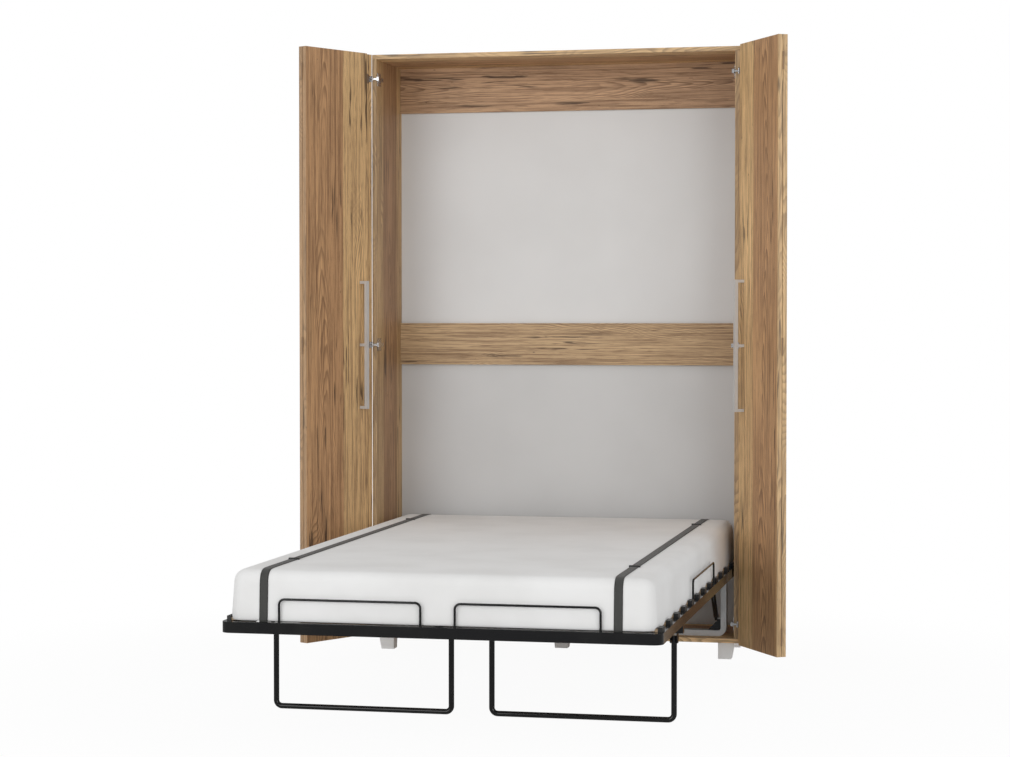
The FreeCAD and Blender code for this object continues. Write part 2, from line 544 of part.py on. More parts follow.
lower_pins = []
upper_pins = []
for word, side in SIDES.items():
    body = fused([centred_rod("dims.spring_radius", "dims.eye_length", ("0", "0", "0"), "x"),
                  rod("dims.spring_radius", "dims.spring_body", ("0", "0", "0"))])
    eye_bore = centred_rod("dims.spring_pin + dims.running_fit", "4 * dims.spring_radius",
                           ("0", "0", "0"), "x")
    flat = [block(("4 * dims.spring_radius", "4 * dims.spring_radius", "4 * dims.spring_radius"),
                  ("%d * (dims.eye_length / 2 + 2 * dims.spring_radius)" % face, "0",
                   "0 - dims.spring_radius")) for face in (-1, 1)]
    bore = rod("dims.rod_radius + dims.rod_clear", "dims.spring_body",
               ("0", "0", "dims.spring_radius + dims.bore_floor"))
    part("spring_cylinder_%s" % word, tilted(cut(body, [eye_bore, bore] + flat), side))
    slot = [block(("4 * dims.eye_length", "2 * (dims.spring_pin + dims.rod_clear)", "2 * dims.slot_half"),
                  ("0", "0", SPRING_REACH))]
    ends = [block(("dims.eye_length", "2 * dims.spring_radius", "2 * dims.slot_half"),
                  ("0", "0", SPRING_REACH))]
    for end in (-1, 1):
        middle = ("0", "0", "%s + %d * dims.slot_half" % (SPRING_REACH, end))
        slot.append(centred_rod("dims.spring_pin + dims.rod_clear", "4 * dims.eye_length", middle, "x"))
        ends.append(centred_rod("dims.spring_radius", "dims.eye_length", middle, "x"))
    start = "(dims.spring_radius + dims.rod_start)"
    rod_end = "(%s - dims.slot_half - dims.spring_pin - dims.pin_end)" % SPRING_REACH
    ends.append(rod("dims.rod_radius", "%s - %s" % (rod_end, start), ("0", "0", start)))
    part("spring_rod_%s" % word, tilted(cut(fused(ends), slot), side))
    inward = "(dims.spring_plane + dims.eye_length / 2 + dims.pin_end)"
    lower_pins.append(centred_rod("dims.spring_pin", inward,
                                  ("%d * (%s - %s / 2)" % (side, POST_INNER_X, inward), LOWER_Y, LOWER_Z),
                                  "x"))
    reach = "(%s + dims.post_gap + dims.post_width)" % inward
    plate_top = "(%s + dims.bracket_half)" % PIVOT_Z
    plate_low = "(%s - dims.bracket_half)" % UPPER_Z
    upper_pins.append(fused([
        centred_rod("dims.spring_pin", reach,
                    ("%d * (%s - %s / 2)" % (side, RAIL_INNER_X, reach), UPPER_Y, UPPER_Z), "x"),
        block(("dims.bracket_thick", "2 * dims.bracket_half", "%s - %s" % (plate_top, plate_low)),
              ("%d * (%s - dims.bracket_thick / 2)" % (side, RAIL_INNER_X), UPPER_Y,
               "(%s + %s) / 2" % (plate_top, plate_low)))]))
part("spring_pins_post", grouped(lower_pins))
part("spring_brackets", grouped(upper_pins))

# Doors: an outer leaf on the cabinet's hinges and an inner leaf folded back against it.
# Each is made as if the outer leaf were shut, with the hinge axis at the origin, then swung open.
DOOR_HEIGHT = "(dims.height - dims.foot_height)"
DOOR_LEVEL = "((dims.height + dims.foot_height) / 2)"
OUTER_BACK = "(0 - dims.back_offset)"
INNER_BACK = "(%s + dims.leaf_gap)" % OUTER_BACK
INNER_FRONT = "(%s + dims.board)" % INNER_BACK
LEAF_END = "(dims.outer_width - dims.edge_over)"
FREE_EDGE = "(%s - dims.inner_width)" % LEAF_END
FOLD_X = "(%s + dims.seat_gap + dims.fold_radius)" % LEAF_END
FOLD_Y = "(%s + dims.leaf_gap / 2)" % OUTER_BACK


def swung(item, word, side):
    """Turn a door piece about the hinge axis to the open position."""
    item.Placement = FreeCAD.Placement(FreeCAD.Vector(0, 0, 0), FreeCAD.Rotation(FreeCAD.Vector(0, 0, 1), 90))
    item.setExpression("Placement.Rotation.Angle", "%d * dims.%s_open_angle * 1 deg" % (side, word))
    return place(item, ("%d * (dims.width / 2 - dims.edge_over)" % side, "%s - dims.door_gap" % FRONT, "0"))


for word, side in SIDES.items():
    across = -side
    cups = []
    cup_holes = []
    outer_folds = []
    inner_folds = []
    arms = []
    for level in LEVELS:
        cup_centre = ("%d * (dims.cup_inset - dims.edge_over)" % across,
                      "%s - dims.cup_depth" % OUTER_BACK, level)
        cup = rod("dims.cup_radius", "dims.cup_depth", cup_centre, "y")
        cup_holes.append(cup)
        # Ears on the cup plate carry the hinge pin above and below the arm
        plate = block(("dims.cup_inset - dims.edge_over", "dims.cup_plate", "3 * dims.knuckle_height"),
                      ("%d * (dims.cup_inset - dims.edge_over) / 2" % across,
                       "%s + dims.cup_plate / 2" % OUTER_BACK, level))
        knuckle = centred_rod("dims.knuckle_radius", "3 * dims.knuckle_height", ("0", "0", level), "z")
        web = block(("dims.knuckle_radius", "dims.back_offset", "3 * dims.knuckle_height"),
                    ("%d * dims.knuckle_radius / 2" % across, "%s / 2" % OUTER_BACK, level))
        plate_face = "(%s + dims.cup_plate + dims.seat_gap)" % OUTER_BACK
        room = block(("6 * dims.knuckle_radius", "6 * dims.knuckle_radius", "dims.knuckle_height"),
                     ("0", "%s + 3 * dims.knuckle_radius" % plate_face, level))
        room_pin = centred_rod("dims.knuckle_radius + dims.seat_gap", "dims.knuckle_height",
                               ("0", "0", level), "z")
        pin_hole = centred_rod("dims.door_pin_radius + dims.running_fit", "4 * dims.knuckle_height",
                               ("0", "0", level), "z")
        cups.append(cut(fused([cup, plate, knuckle, web]), [room, room_pin, pin_hole]))
        # Cabinet half: plate on the side, arm, flat tongue over the board's edge and the pin
        side_x = "%d * (dims.width / 2 - dims.board - dims.plate_thick / 2)" % side
        arm_x = "%d * (dims.width / 2 - dims.board - dims.plate_thick - dims.arm_thick / 2)" % side
        axis_x = "%d * (dims.width / 2 - dims.edge_over)" % side
        axis_y = "(%s - dims.door_gap)" % FRONT
        tongue = "(dims.board + dims.plate_thick + dims.arm_thick - dims.edge_over)"
        low = "(dims.knuckle_height - 2 * dims.seat_gap)"
        arms.append(fused([
            block(("dims.plate_thick", "dims.plate_depth", "dims.plate_height"),
                  (side_x, "%s + dims.plate_setback" % FRONT, level)),
            block(("dims.arm_thick", "dims.arm_depth", "dims.arm_height"),
                  (arm_x, "%s - dims.door_gap - dims.strap_plate / 2 + dims.arm_depth / 2" % FRONT, level)),
            block((tongue, "dims.strap_plate", low),
                  ("%s - %d * %s / 2" % (axis_x, side, tongue), axis_y, level)),
            centred_rod("dims.knuckle_radius - dims.knuckle_spare", low, (axis_x, axis_y, level), "z"),
            centred_rod("dims.door_pin_radius", "3 * dims.knuckle_height", (axis_x, axis_y, level), "z")]))
        # Fold hinge: plates on the backs of the leaves, knuckles in three lengths on one pin
        fold = ("%d * %s" % (across, FOLD_X), FOLD_Y)
        for owner, direction, turns in ((outer_folds, -1, (-1, 1)), (inner_folds, 1, (0,))):
            face = OUTER_BACK if direction < 0 else INNER_BACK
            plate_y = "%s - %d * dims.fold_plate / 2" % (face, direction)
            pieces = [block(("dims.fold_plate_width", "dims.fold_plate", "3 * dims.fold_height"),
                            ("%d * (%s - dims.fold_plate_width / 2)" % (across, LEAF_END), plate_y, level))]
            for turn in turns:
                z = "%s + %d * dims.fold_height" % (level, turn)
                length = "dims.fold_height" if direction < 0 else "dims.fold_height - 2 * dims.seat_gap"
                pieces.append(centred_rod("dims.fold_radius", length, fold + (z,), "z"))
                pieces.append(block(("%s - %s" % (FOLD_X, LEAF_END), "dims.fold_plate", length),
                                    ("%d * (%s + %s) / 2" % (across, FOLD_X, LEAF_END), plate_y, z)))
            if direction < 0:
                pieces.append(centred_rod("dims.fold_pin", "3 * dims.fold_height", fold + (level,), "z"))
                owner.append(fused(pieces))
            else:
                hole = centred_rod("dims.fold_pin + dims.running_fit", "4 * dims.fold_height",
                                   fold + (level,), "z")
                owner.append(cut(fused(pieces), [hole]))
    outer = block(("dims.outer_width", "dims.board", DOOR_HEIGHT),
                  ("%d * (dims.outer_width / 2 - dims.edge_over)" % across,
                   "%s - dims.board / 2" % OUTER_BACK, DOOR_LEVEL))
    inner = block(("dims.inner_width", "dims.board", DOOR_HEIGHT),
                  ("%d * (%s + dims.inner_width / 2)" % (across, FREE_EDGE),
                   "%s + dims.board / 2" % INNER_BACK, DOOR_LEVEL))
    part("door_%s_outer" % word, swung(cut(outer, cup_holes), word, side))
    part("door_%s_inner" % word, swung(grouped([inner]), word, side))
    part("hinge_cups_%s" % word, swung(grouped(cups), word, side))
    part("hinge_arms_%s" % word, grouped(arms))
    part("fold_leaf_%s_outer" % word, swung(grouped(outer_folds), word, side))
    part("fold_leaf_%s_inner" % word, swung(grouped(inner_folds), word, side))
    handle_x = "%d * (%s + dims.handle_inset)" % (across, FREE_EDGE)
    bar_y = "(%s + dims.handle_standoff)" % INNER_FRONT
    handle = [block(("dims.handle_width", "dims.handle_width", "dims.handle_length"),
                    (handle_x, bar_y, "dims.handle_level"))]
    for step in (-1, 0, 1):
        handle.append(block(("dims.handle_post", "dims.handle_standoff", "dims.handle_post"),
                            (handle_x, "%s + dims.handle_standoff / 2" % INNER_FRONT,
                             "dims.handle_level + %d * dims.handle_pitch" % step)))
    part("handle_%s" % word, swung(fused(handle), word, side))

# Write every piece once all of them are sound
os.makedirs("parts", exist_ok=True)
doc.recompute()
for item in doc.Objects:
    if "Invalid" in item.State or "Error" in item.State:
        raise RuntimeError("%s is %s" % (item.Label, item.State))
for item in parts:
    if item.Shape.isNull() or not item.Shape.isValid():
        raise RuntimeError("%s has no valid shape" % item.Label)
    item.Shape.exportStep(os.path.join("parts", item.Label + ".step"))
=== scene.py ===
"""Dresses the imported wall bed: an oak decor cabinet with folding doors, a black steel bed frame and
a white mattress held by two webbing straps, seen in a pale studio."""

from __future__ import annotations

import logging
import math
from collections.abc import Iterable
from dataclasses import dataclass
from enum import Enum

import bmesh
import bpy
from mathutils import Matrix, Vector
from mathutils.bvhtree import BVHTree

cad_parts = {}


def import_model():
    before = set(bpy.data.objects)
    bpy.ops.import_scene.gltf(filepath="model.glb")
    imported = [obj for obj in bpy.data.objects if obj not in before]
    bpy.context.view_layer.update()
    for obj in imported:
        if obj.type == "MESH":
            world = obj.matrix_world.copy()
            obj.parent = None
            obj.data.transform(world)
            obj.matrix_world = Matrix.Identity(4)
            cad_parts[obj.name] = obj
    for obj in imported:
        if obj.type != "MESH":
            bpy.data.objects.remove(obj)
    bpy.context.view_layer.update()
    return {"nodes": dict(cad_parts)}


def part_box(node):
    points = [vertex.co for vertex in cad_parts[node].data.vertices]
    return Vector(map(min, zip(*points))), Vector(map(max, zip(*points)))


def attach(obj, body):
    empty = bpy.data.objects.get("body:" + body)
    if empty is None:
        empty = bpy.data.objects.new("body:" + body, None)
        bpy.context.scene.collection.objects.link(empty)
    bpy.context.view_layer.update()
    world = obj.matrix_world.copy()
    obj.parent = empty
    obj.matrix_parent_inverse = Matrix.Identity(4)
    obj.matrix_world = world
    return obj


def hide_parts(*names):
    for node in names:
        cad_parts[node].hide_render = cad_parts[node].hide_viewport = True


LOG = logging.getLogger("wall_bed")

# Twice the area, in square metres, of a bend so slight that a taut strap spans it
SLIGHT_BEND = 1e-6

Colour = tuple[float, float, float]
Triple = tuple[float, float, float]
Span = tuple[float, float]
Point = tuple[float, float]
Socket = bpy.types.NodeSocket
Value = Socket | float


class Grain(Enum):
    """How a board is cut: the axes across the grain, along it and through the thickness."""

    UPRIGHT_FRONT = ("X", "Z", "Y")
    UPRIGHT_SIDE = ("Y", "Z", "X")
    LEVEL_RAIL = ("Z", "X", "Y")
    LEVEL_SHELF = ("Y", "X", "Z")


class Side(Enum):
    """Left or right of the bed, as the sign of X."""

    LEFT = -1
    RIGHT = 1

    @property
    def word(self) -> str:
        """The side's name as the CAD nodes spell it."""
        return self.name.lower()


class NodeGraph:
    """Builds one material's nodes in short calls."""

    # Places of a Mix node's factor, its two colours and the mixed colour among its sockets
    mix_inputs = (0, 6, 7)
    mix_output = 2

    def __init__(self, name: str) -> None:
        """Starts a material.

        Args:
            name: The material's name.
        """
        self.material = bpy.data.materials.new(name)
        self.material.use_nodes = True
        self.tree = self.material.node_tree
        self.shader = self.tree.nodes["Principled BSDF"]

    def node(self, kind: str, **settings: object) -> bpy.types.Node:
        """Adds a node.

        Args:
            kind: Its type, without the ShaderNode prefix.
            settings: Properties to set on it.

        Returns:
            The new node.
        """
        made = self.tree.nodes.new("ShaderNode" + kind)
        for key, value in settings.items():
            setattr(made, key, value)
        return made

    def feed(self, socket: Socket, value: object) -> None:
        """Links a socket to another, or sets its number or colour.

        Args:
            socket: The input to fill.
            value: An output socket, or a plain value.
        """
        if isinstance(value, bpy.types.NodeSocket):
            self.tree.links.new(value, socket)
        elif isinstance(socket, bpy.types.NodeSocketColor):
            socket.default_value = (*value, 1.0)
        else:
            socket.default_value = value

    def math(self, operation: str, first: Value, second: Value = 0.0) -> Socket:
        """Does arithmetic on numbers.

        Args:
            operation: The Math node's operation.
            first: First number.
            second: Second number, where the operation takes one.

        Returns:
            The result.
        """
        made = self.node("Math", operation=operation)
        for socket, value in zip(made.inputs, (first, second)):
            self.feed(socket, value)
        return made.outputs[0]

    def plus(self, first: Value, second: Value) -> Socket:
        """The sum of two numbers."""
        return self.math("ADD", first, second)

    def minus(self, first: Value, second: Value) -> Socket:
        """The first number less the second."""
        return self.math("SUBTRACT", first, second)

    def times(self, first: Value, second: Value) -> Socket:
        """The product of two numbers."""
        return self.math("MULTIPLY", first, second)

    def wave(self, distance: Value, frequency: float, shift: Value = 0.0) -> Socket:
        """Draws a sine wave.

        Args:
            distance: Where to read it.
            frequency: Waves to the unit of distance.
            shift: Its lead in radians.

        Returns:
            A number from -1 to 1.
        """
        return self.math("SINE", self.plus(self.times(distance, frequency * math.tau), shift))

    def mix(self, factor: Value, first: object, second: object) -> Socket:
        """Mixes two colours.

        Args:
            factor: Share of the second colour.
            first: First colour.
            second: Second colour.

        Returns:
            The mixed colour.
        """
        made = self.node("Mix", data_type="RGBA")
        for index, value in zip(self.mix_inputs, (factor, first, second)):
            self.feed(made.inputs[index], value)
        return made.outputs[self.mix_output]

    def step(
        self, value: Value, low: float, high: float, start: float = 0.0, end: float = 1.0
    ) -> Socket:
        """Maps a number smoothly from one span to another.

        Args:
            value: The number.
            low: Where the ramp starts.
            high: Where the ramp ends.
            start: Result at or before low.
            end: Result at or after high.

        Returns:
            The mapped number.
        """
        made = self.node("MapRange", interpolation_type="SMOOTHSTEP")
        for index, item in enumerate((value, low, high, start, end)):
            self.feed(made.inputs[index], item)
        return made.outputs[0]

    def scaled(self, vector: Socket, factors: Triple) -> Socket:
        """Stretches coordinates axis by axis.

        Args:
            vector: The coordinates.
            factors: One factor for each axis.

        Returns:
            The stretched coordinates.
        """
        made = self.node("VectorMath", operation="MULTIPLY")
        self.feed(made.inputs[0], vector)
        made.inputs[1].default_value = factors
        return made.outputs[0]

    def parts(self, vector: Socket) -> bpy.types.NodeOutputs:
        """The X, Y and Z of coordinates."""
        made = self.node("SeparateXYZ")
        self.feed(made.inputs[0], vector)
        return made.outputs

    def object_place(self) -> Socket:
        """The piece's own coordinates in metres."""
        return self.node("TexCoord").outputs["Object"]

    def bump(self, height: Value, strength: float, distance: float) -> None:
        """Gives the shader a relief.

        Args:
            height: The relief's height, from 0 to 1.
            strength: How strong it is.
            distance: The height of 1 in metres.
        """
        made = self.node("Bump")
        made.inputs["Strength"].default_value = strength
        made.inputs["Distance"].default_value = distance
        self.feed(made.inputs["Height"], height)
        self.feed(self.shader.inputs["Normal"], made.outputs["Normal"])

    def set(self, **values: object) -> None:
        """Fills the shader's inputs by name, with spaces written as underscores.

        Args:
            values: A number, colour or socket for each input.
        """
        for key, value in values.items():
            self.feed(self.shader.inputs[key.replace("_", " ")], value)


@dataclass(frozen=True)
class Figure:
    """Soft noise stretched over a piece, with the span of its values that shows from none to full."""

    stretch: Triple
    span: Span = (0.3, 0.7)
    detail: float = 2.0
    rough: float = 0.5

    def read(self, graph: NodeGraph, place: Socket) -> Socket:
        """Reads the noise.

        Args:
            graph: The material in the making.
            place: Where to read it.

        Returns:
            A number around one half.
        """
        made = graph.node("TexNoise")
        graph.feed(made.inputs["Vector"], graph.scaled(place, self.stretch))
        made.inputs["Scale"].default_value = 1.0
        made.inputs["Detail"].default_value = self.detail
        made.inputs["Roughness"].default_value = self.rough
        return made.outputs["Fac"]

    def mask(self, graph: NodeGraph, place: Socket, depth: float = 1.0) -> Socket:
        """Ramps the noise over its span.

        Args:
            graph: The material in the making.
            place: Where to read it.
            depth: Result above the span.

        Returns:
            A number from 0 to the depth.
        """
        return graph.step(self.read(graph, place), *self.span, 0.0, depth)


def alike(frequency: float) -> Triple:
    """The same frequency along all three axes."""
    return frequency, frequency, frequency


@dataclass(frozen=True)
class OakDecor:
    """Printed oak with strips of two tones, arched grain, pores, cracks and knots."""

    name: str
    grain: Grain
    turn: float = 0.0
    seed: float = 0.0
    # Brightness multiplier on the print, set per board: painted light where a board is brightened,
    # painted shade where it is darkened
    tone_and_painted_light: float = 1.0
    fade: float = 0.0
    strip: float = 0.19

    tan: Colour = (0.730, 0.485, 0.235)
    brown: Colour = (0.510, 0.292, 0.142)
    line: Colour = (0.135, 0.064, 0.030)
    # The grey-brown that the print is faded toward, by the fade share
    fade_grey: Colour = (0.400, 0.315, 0.240)
    crack: Colour = (0.040, 0.021, 0.012)
    band: Colour = (0.470, 0.355, 0.235)

    # How far apart two boards, and two strips of one board, lie in the print
    board_shift: float = 3.1
    strip_shift: float = 9.0

    # Noise across, through and along the grain
    clouds: Figure = Figure((6.0, 6.0, 1.3), detail=3.0)
    streaks: Figure = Figure((150.0, 150.0, 2.6), (0.42, 0.64), 5.0, 0.74)
    pores: Figure = Figure((420.0, 420.0, 14.0), (0.56, 0.70))
    bold_rings: Figure = Figure((9.0, 9.0, 1.4), (0.30, 0.58), 1.0)
    drift: Figure = Figure((5.0, 5.0, 1.3))
    shake: Figure = Figure((70.0, 70.0, 5.0), detail=3.0)
    splits: Figure = Figure((88.0, 88.0, 4.2), (0.600, 0.650), 2.5, 0.55)
    split_places: Figure = Figure((8.0, 8.0, 2.0), (0.47, 0.57), 1.0)
    knot_wobble: Figure = Figure((60.0, 60.0, 24.0))

    # Knots: cells to the metre, the share of them without one, and a knot's edge within its cell
    knot_cells: Triple = (35.0, 35.0, 13.0)
    knot_chance: Span = (0.62, 0.64)
    knot_edge: Span = (0.055, 0.115)
    knot_uneven: float = 0.08

    # Rings: how they crowd and climb on the arched strips, run on the straight ones and waver on both
    arch_rings: float = 2900.0
    arch_climb: float = 12.0
    line_rings: float = 210.0
    line_drift: float = 8.0
    heart_drift: float = 0.16
    ring_shake: float = 1.1
    ring_rise: Span = (0.30, 0.88)
    ring_fall: Span = (0.90, 1.0)

    # How much each layer of the print shows
    strip_weight: float = 0.75
    cloud_weight: float = 0.9
    brown_span: Span = (0.35, 1.25)
    streak_depth: float = 0.64
    ring_depth: float = 0.60
    pore_depth: float = 0.55
    mark_depth: float = 0.82
    band_depth: float = 0.35
    band_span: Span = (0.45, 0.55)

    # The lacquer over the print
    rough_span: Span = (0.2, 0.8)
    rough: Span = (0.46, 0.62)
    index: float = 1.46
    streak_relief: float = 0.5
    relief: float = 0.22
    relief_height: float = 0.0004

    def make(self) -> bpy.types.Material:
        """Builds the decor for one board.

        Returns:
            The material.
        """
        graph = NodeGraph(self.name)
        across, along, through, edge = self.board_axes(graph)
        lane = graph.plus(graph.math("DIVIDE", across, self.strip), self.seed)
        strip = graph.math("FLOOR", lane)
        dark = graph.minus(1.0, graph.math("FLOORED_MODULO", strip, 2.0))
        place = self.print_place(graph, across, along, through, strip)
        streak = self.streaks.read(graph, place)
        pores = self.pores.mask(graph, place)
        marks = self.marks(graph, place)
        layers = (
            (graph.step(streak, *self.streaks.span, 0.0, self.streak_depth), self.line),
            (graph.times(self.rings(graph, place, lane, along, dark), self.ring_depth), self.line),
            (graph.times(pores, self.pore_depth), self.line),
            (marks, self.crack),
            (graph.times(edge, self.band_depth), self.band),
        )
        colour = self.ground(graph, place, dark)
        for share, shade in layers:
            colour = graph.mix(share, colour, shade)
        graph.set(Base_Color=colour, IOR=self.index)
        graph.set(Roughness=graph.step(streak, *self.rough_span, *self.rough))
        relief = graph.minus(graph.times(streak, self.streak_relief), graph.plus(pores, marks))
        graph.bump(relief, self.relief, self.relief_height)
        return graph.material

    def board_axes(self, graph: NodeGraph) -> tuple[Socket, Socket, Socket, Socket]:
        """Turns the piece's coordinates square to the board.

        Args:
            graph: The material in the making.

        Returns:
            Distance across, along and through the board, and 1 on its edges.
        """
        source = graph.node("TexCoord")
        sockets = []
        for output, kind in (("Object", "POINT"), ("Normal", "NORMAL")):
            square = graph.node("Mapping", vector_type=kind)
            square.inputs["Rotation"].default_value[2] = math.radians(self.turn)
            graph.feed(square.inputs["Vector"], source.outputs[output])
            parts = graph.parts(square.outputs[0])
            sockets.append([parts[axis] for axis in self.grain.value])
        across, along, through = sockets[0]
        facing = graph.math("ABSOLUTE", sockets[1][2])
        return across, along, through, graph.step(facing, *self.band_span, 1.0, 0.0)

    def print_place(
        self, graph: NodeGraph, across: Socket, along: Socket, through: Socket, strip: Socket
    ) -> Socket:
        """Takes each board and each strip from another part of the print.

        Args:
            graph: The material in the making.
            across: Distance across the grain.
            along: Distance along the grain.
            through: Distance through the board.
            strip: The strip's whole number.

        Returns:
            Coordinates across, through and along the print.
        """
        chance = graph.node("TexWhiteNoise", noise_dimensions="1D")
        graph.feed(chance.inputs["W"], strip)
        shift = graph.times(chance.outputs["Value"], self.strip_shift)
        place = graph.node("CombineXYZ")
        graph.feed(place.inputs["X"], graph.plus(across, self.seed * self.board_shift))
        graph.feed(place.inputs["Y"], through)
        graph.feed(place.inputs["Z"], graph.plus(along, shift))
        return place.outputs[0]

    def ground(self, graph: NodeGraph, place: Socket, dark: Socket) -> Socket:
        """Mixes the strips' two tones, before any grain.

        Args:
            graph: The material in the making.
            place: Coordinates across, through and along the print.
            dark: 1 on the dark strips and 0 on the pale ones.

        Returns:
            The colour.
        """
        # Painted light and shade: both tones are scaled by the board's multiplier
        tan, brown = (tuple(part * self.tone_and_painted_light for part in shade) for shade in (self.tan, self.brown))
        cloud = graph.times(self.clouds.read(graph, place), self.cloud_weight)
        depth = graph.plus(graph.times(dark, self.strip_weight), cloud)
        colour = graph.mix(graph.step(depth, *self.brown_span), tan, brown)
        return graph.mix(self.fade, colour, self.fade_grey)

    def rings(
        self, graph: NodeGraph, place: Socket, lane: Socket, along: Socket, dark: Socket
    ) -> Socket:
        """Draws the year rings: nested arches on the dark strips and straight lines on the pale ones.

        Args:
            graph: The material in the making.
            place: Coordinates across, through and along the print.
            lane: Strips counted across the board.
            along: Distance along the grain.
            dark: 1 on the dark strips and 0 on the pale ones.

        Returns:
            How much of the rings' late wood shows.
        """
        drift = self.drift.read(graph, place)
        middle = graph.times(graph.minus(graph.math("FRACT", lane), 0.5), self.strip)
        heart = graph.plus(middle, graph.times(graph.minus(drift, 0.5), self.heart_drift))
        climb = graph.times(along, self.arch_climb)
        arches = graph.plus(graph.times(graph.times(heart, heart), self.arch_rings), climb)
        lines = graph.plus(graph.times(heart, self.line_rings), graph.times(drift, self.line_drift))
        count = graph.plus(lines, graph.times(dark, graph.minus(arches, lines)))
        shake = graph.times(self.shake.read(graph, place), self.ring_shake)
        tooth = graph.math("FRACT", graph.plus(count, shake))
        fall = graph.step(tooth, *self.ring_fall, 1.0, 0.0)
        late = graph.times(graph.step(tooth, *self.ring_rise), fall)
        return graph.times(late, self.bold_rings.mask(graph, place))

    def marks(self, graph: NodeGraph, place: Socket) -> Socket:
        """Adds the dark cracks and knots.

        Args:
            graph: The material in the making.
            place: Coordinates across, through and along the print.

        Returns:
            How much of the crack colour shows.
        """
        cracks = graph.times(self.splits.mask(graph, place), self.split_places.mask(graph, place))
        cells = graph.node("TexVoronoi")
        cells.inputs["Scale"].default_value = 1.0
        graph.feed(cells.inputs["Vector"], graph.scaled(place, self.knot_cells))
        tint = graph.node("SeparateColor")
        graph.feed(tint.inputs[0], cells.outputs["Color"])
        kept = graph.step(tint.outputs[0], *self.knot_chance)
        uneven = graph.times(self.knot_wobble.read(graph, place), self.knot_uneven)
        radius = graph.plus(cells.outputs["Distance"], uneven)
        knots = graph.times(graph.step(radius, *self.knot_edge, 1.0, 0.0), kept)
        return graph.times(graph.math("MAXIMUM", cracks, knots), self.mark_depth)


@dataclass(frozen=True)
class PlainFinish:
    """Two shades in soft clouds, under a fine texture that varies the sheen and the relief."""

    name: str
    colour: Colour
    worn: Colour
    rough: float
    metallic: float = 0.0
    specular: float = 0.5
    clouds: Figure = Figure(alike(9.0), (0.35, 0.75), 4.0, 0.6)
    texture: Figure = Figure(alike(360.0), (0.25, 0.75), 3.0)
    rough_range: Span = (0.8, 1.25)
    relief: float = 0.03
    relief_height: float = 0.00005

    def make(self) -> bpy.types.Material:
        """Builds the finish.

        Returns:
            The material.
        """
        graph = NodeGraph(self.name)
        place = graph.object_place()
        texture = self.texture.read(graph, place)
        rough = (self.rough * share for share in self.rough_range)
        graph.set(Base_Color=graph.mix(self.clouds.mask(graph, place), self.colour, self.worn))
        graph.set(Metallic=self.metallic, Specular_IOR_Level=self.specular)
        graph.set(Roughness=graph.step(texture, *self.texture.span, *rough))
        graph.bump(texture, self.relief, self.relief_height)
        return graph.material


@dataclass(frozen=True)
class Metal(PlainFinish):
    """Painted, plated or bare steel with handling marks."""


@dataclass(frozen=True)
class WhiteSheet(PlainFinish):
    """White lacquered hardboard with a faint orange-peel."""

    colour: Colour = (0.745, 0.745, 0.742)
    worn: Colour = (0.705, 0.704, 0.700)
    rough: float = 0.52
    clouds: Figure = Figure(alike(2.2), detail=3.0)
    texture: Figure = Figure(alike(260.0))
    rough_range: Span = (0.8077, 1.0)
    relief: float = 0.08
    relief_height: float = 0.0003


@dataclass(frozen=True)
class Moulding(PlainFinish):
    """Moulded plastic with a fine spark-eroded texture."""

    clouds: Figure = Figure(alike(14.0))
    texture: Figure = Figure(alike(900.0))
    rough_range: Span = (0.9, 1.1)
    relief: float = 0.12
    relief_height: float = 0.0002


@dataclass(frozen=True)
class BeechSlat:
    """Pale bent beech with short flecks, grain along X."""

    name: str = "beech"
    pale: Colour = (0.640, 0.490, 0.330)
    warm: Colour = (0.520, 0.350, 0.205)
    fleck: Colour = (0.300, 0.180, 0.095)
    streaks: Figure = Figure((3.0, 120.0, 120.0), detail=4.0)
    flecks: Figure = Figure((70.0, 600.0, 600.0), (0.62, 0.72), 1.0)
    fleck_depth: float = 0.6
    rough: Span = (0.45, 0.6)
    relief: float = 0.1
    relief_height: float = 0.0003

    def make(self) -> bpy.types.Material:
        """Builds the beech.

        Returns:
            The material.
        """
        graph = NodeGraph(self.name)
        place = graph.object_place()
        streak = self.streaks.read(graph, place)
        colour = graph.mix(graph.step(streak, *self.streaks.span), self.pale, self.warm)
        colour = graph.mix(self.flecks.mask(graph, place, self.fleck_depth), colour, self.fleck)
        graph.set(Base_Color=colour, Roughness=graph.step(streak, *self.streaks.span, *self.rough))
        graph.bump(streak, self.relief, self.relief_height)
        return graph.material


@dataclass(frozen=True)
class MattressCloth:
    """White knitted cover with a fine rib and soft unevenness."""

    name: str = "mattress_cloth"
    white: Colour = (0.800, 0.800, 0.795)
    hollow: Colour = (0.740, 0.738, 0.730)
    ribs: float = 420.0
    upright_rib: float = 0.6
    fuzz: Figure = Figure(alike(1400.0), (0.2, 0.8))
    fuzz_relief: float = 0.8
    clouds: Figure = Figure(alike(5.0), (0.3, 0.75), 3.0)
    rough: Span = (0.86, 0.96)
    sheen: float = 0.25
    sheen_rough: float = 0.5
    relief: float = 0.25
    relief_height: float = 0.0004

    def make(self) -> bpy.types.Material:
        """Builds the knit.

        Returns:
            The material.
        """
        graph = NodeGraph(self.name)
        place = graph.object_place()
        parts = graph.parts(place)
        wide, long, upright = (graph.wave(parts[axis], self.ribs) for axis in "XYZ")
        knit = graph.plus(graph.times(wide, long), graph.times(upright, self.upright_rib))
        knit = graph.step(knit, -1.0, 1.0)
        fuzz = self.fuzz.read(graph, place)
        graph.set(Base_Color=graph.mix(self.clouds.mask(graph, place), self.white, self.hollow))
        graph.set(Roughness=graph.step(fuzz, *self.fuzz.span, *self.rough))
        graph.set(Sheen_Weight=self.sheen, Sheen_Roughness=self.sheen_rough)
        relief = graph.plus(knit, graph.times(fuzz, self.fuzz_relief))
        graph.bump(relief, self.relief, self.relief_height)
        return graph.material


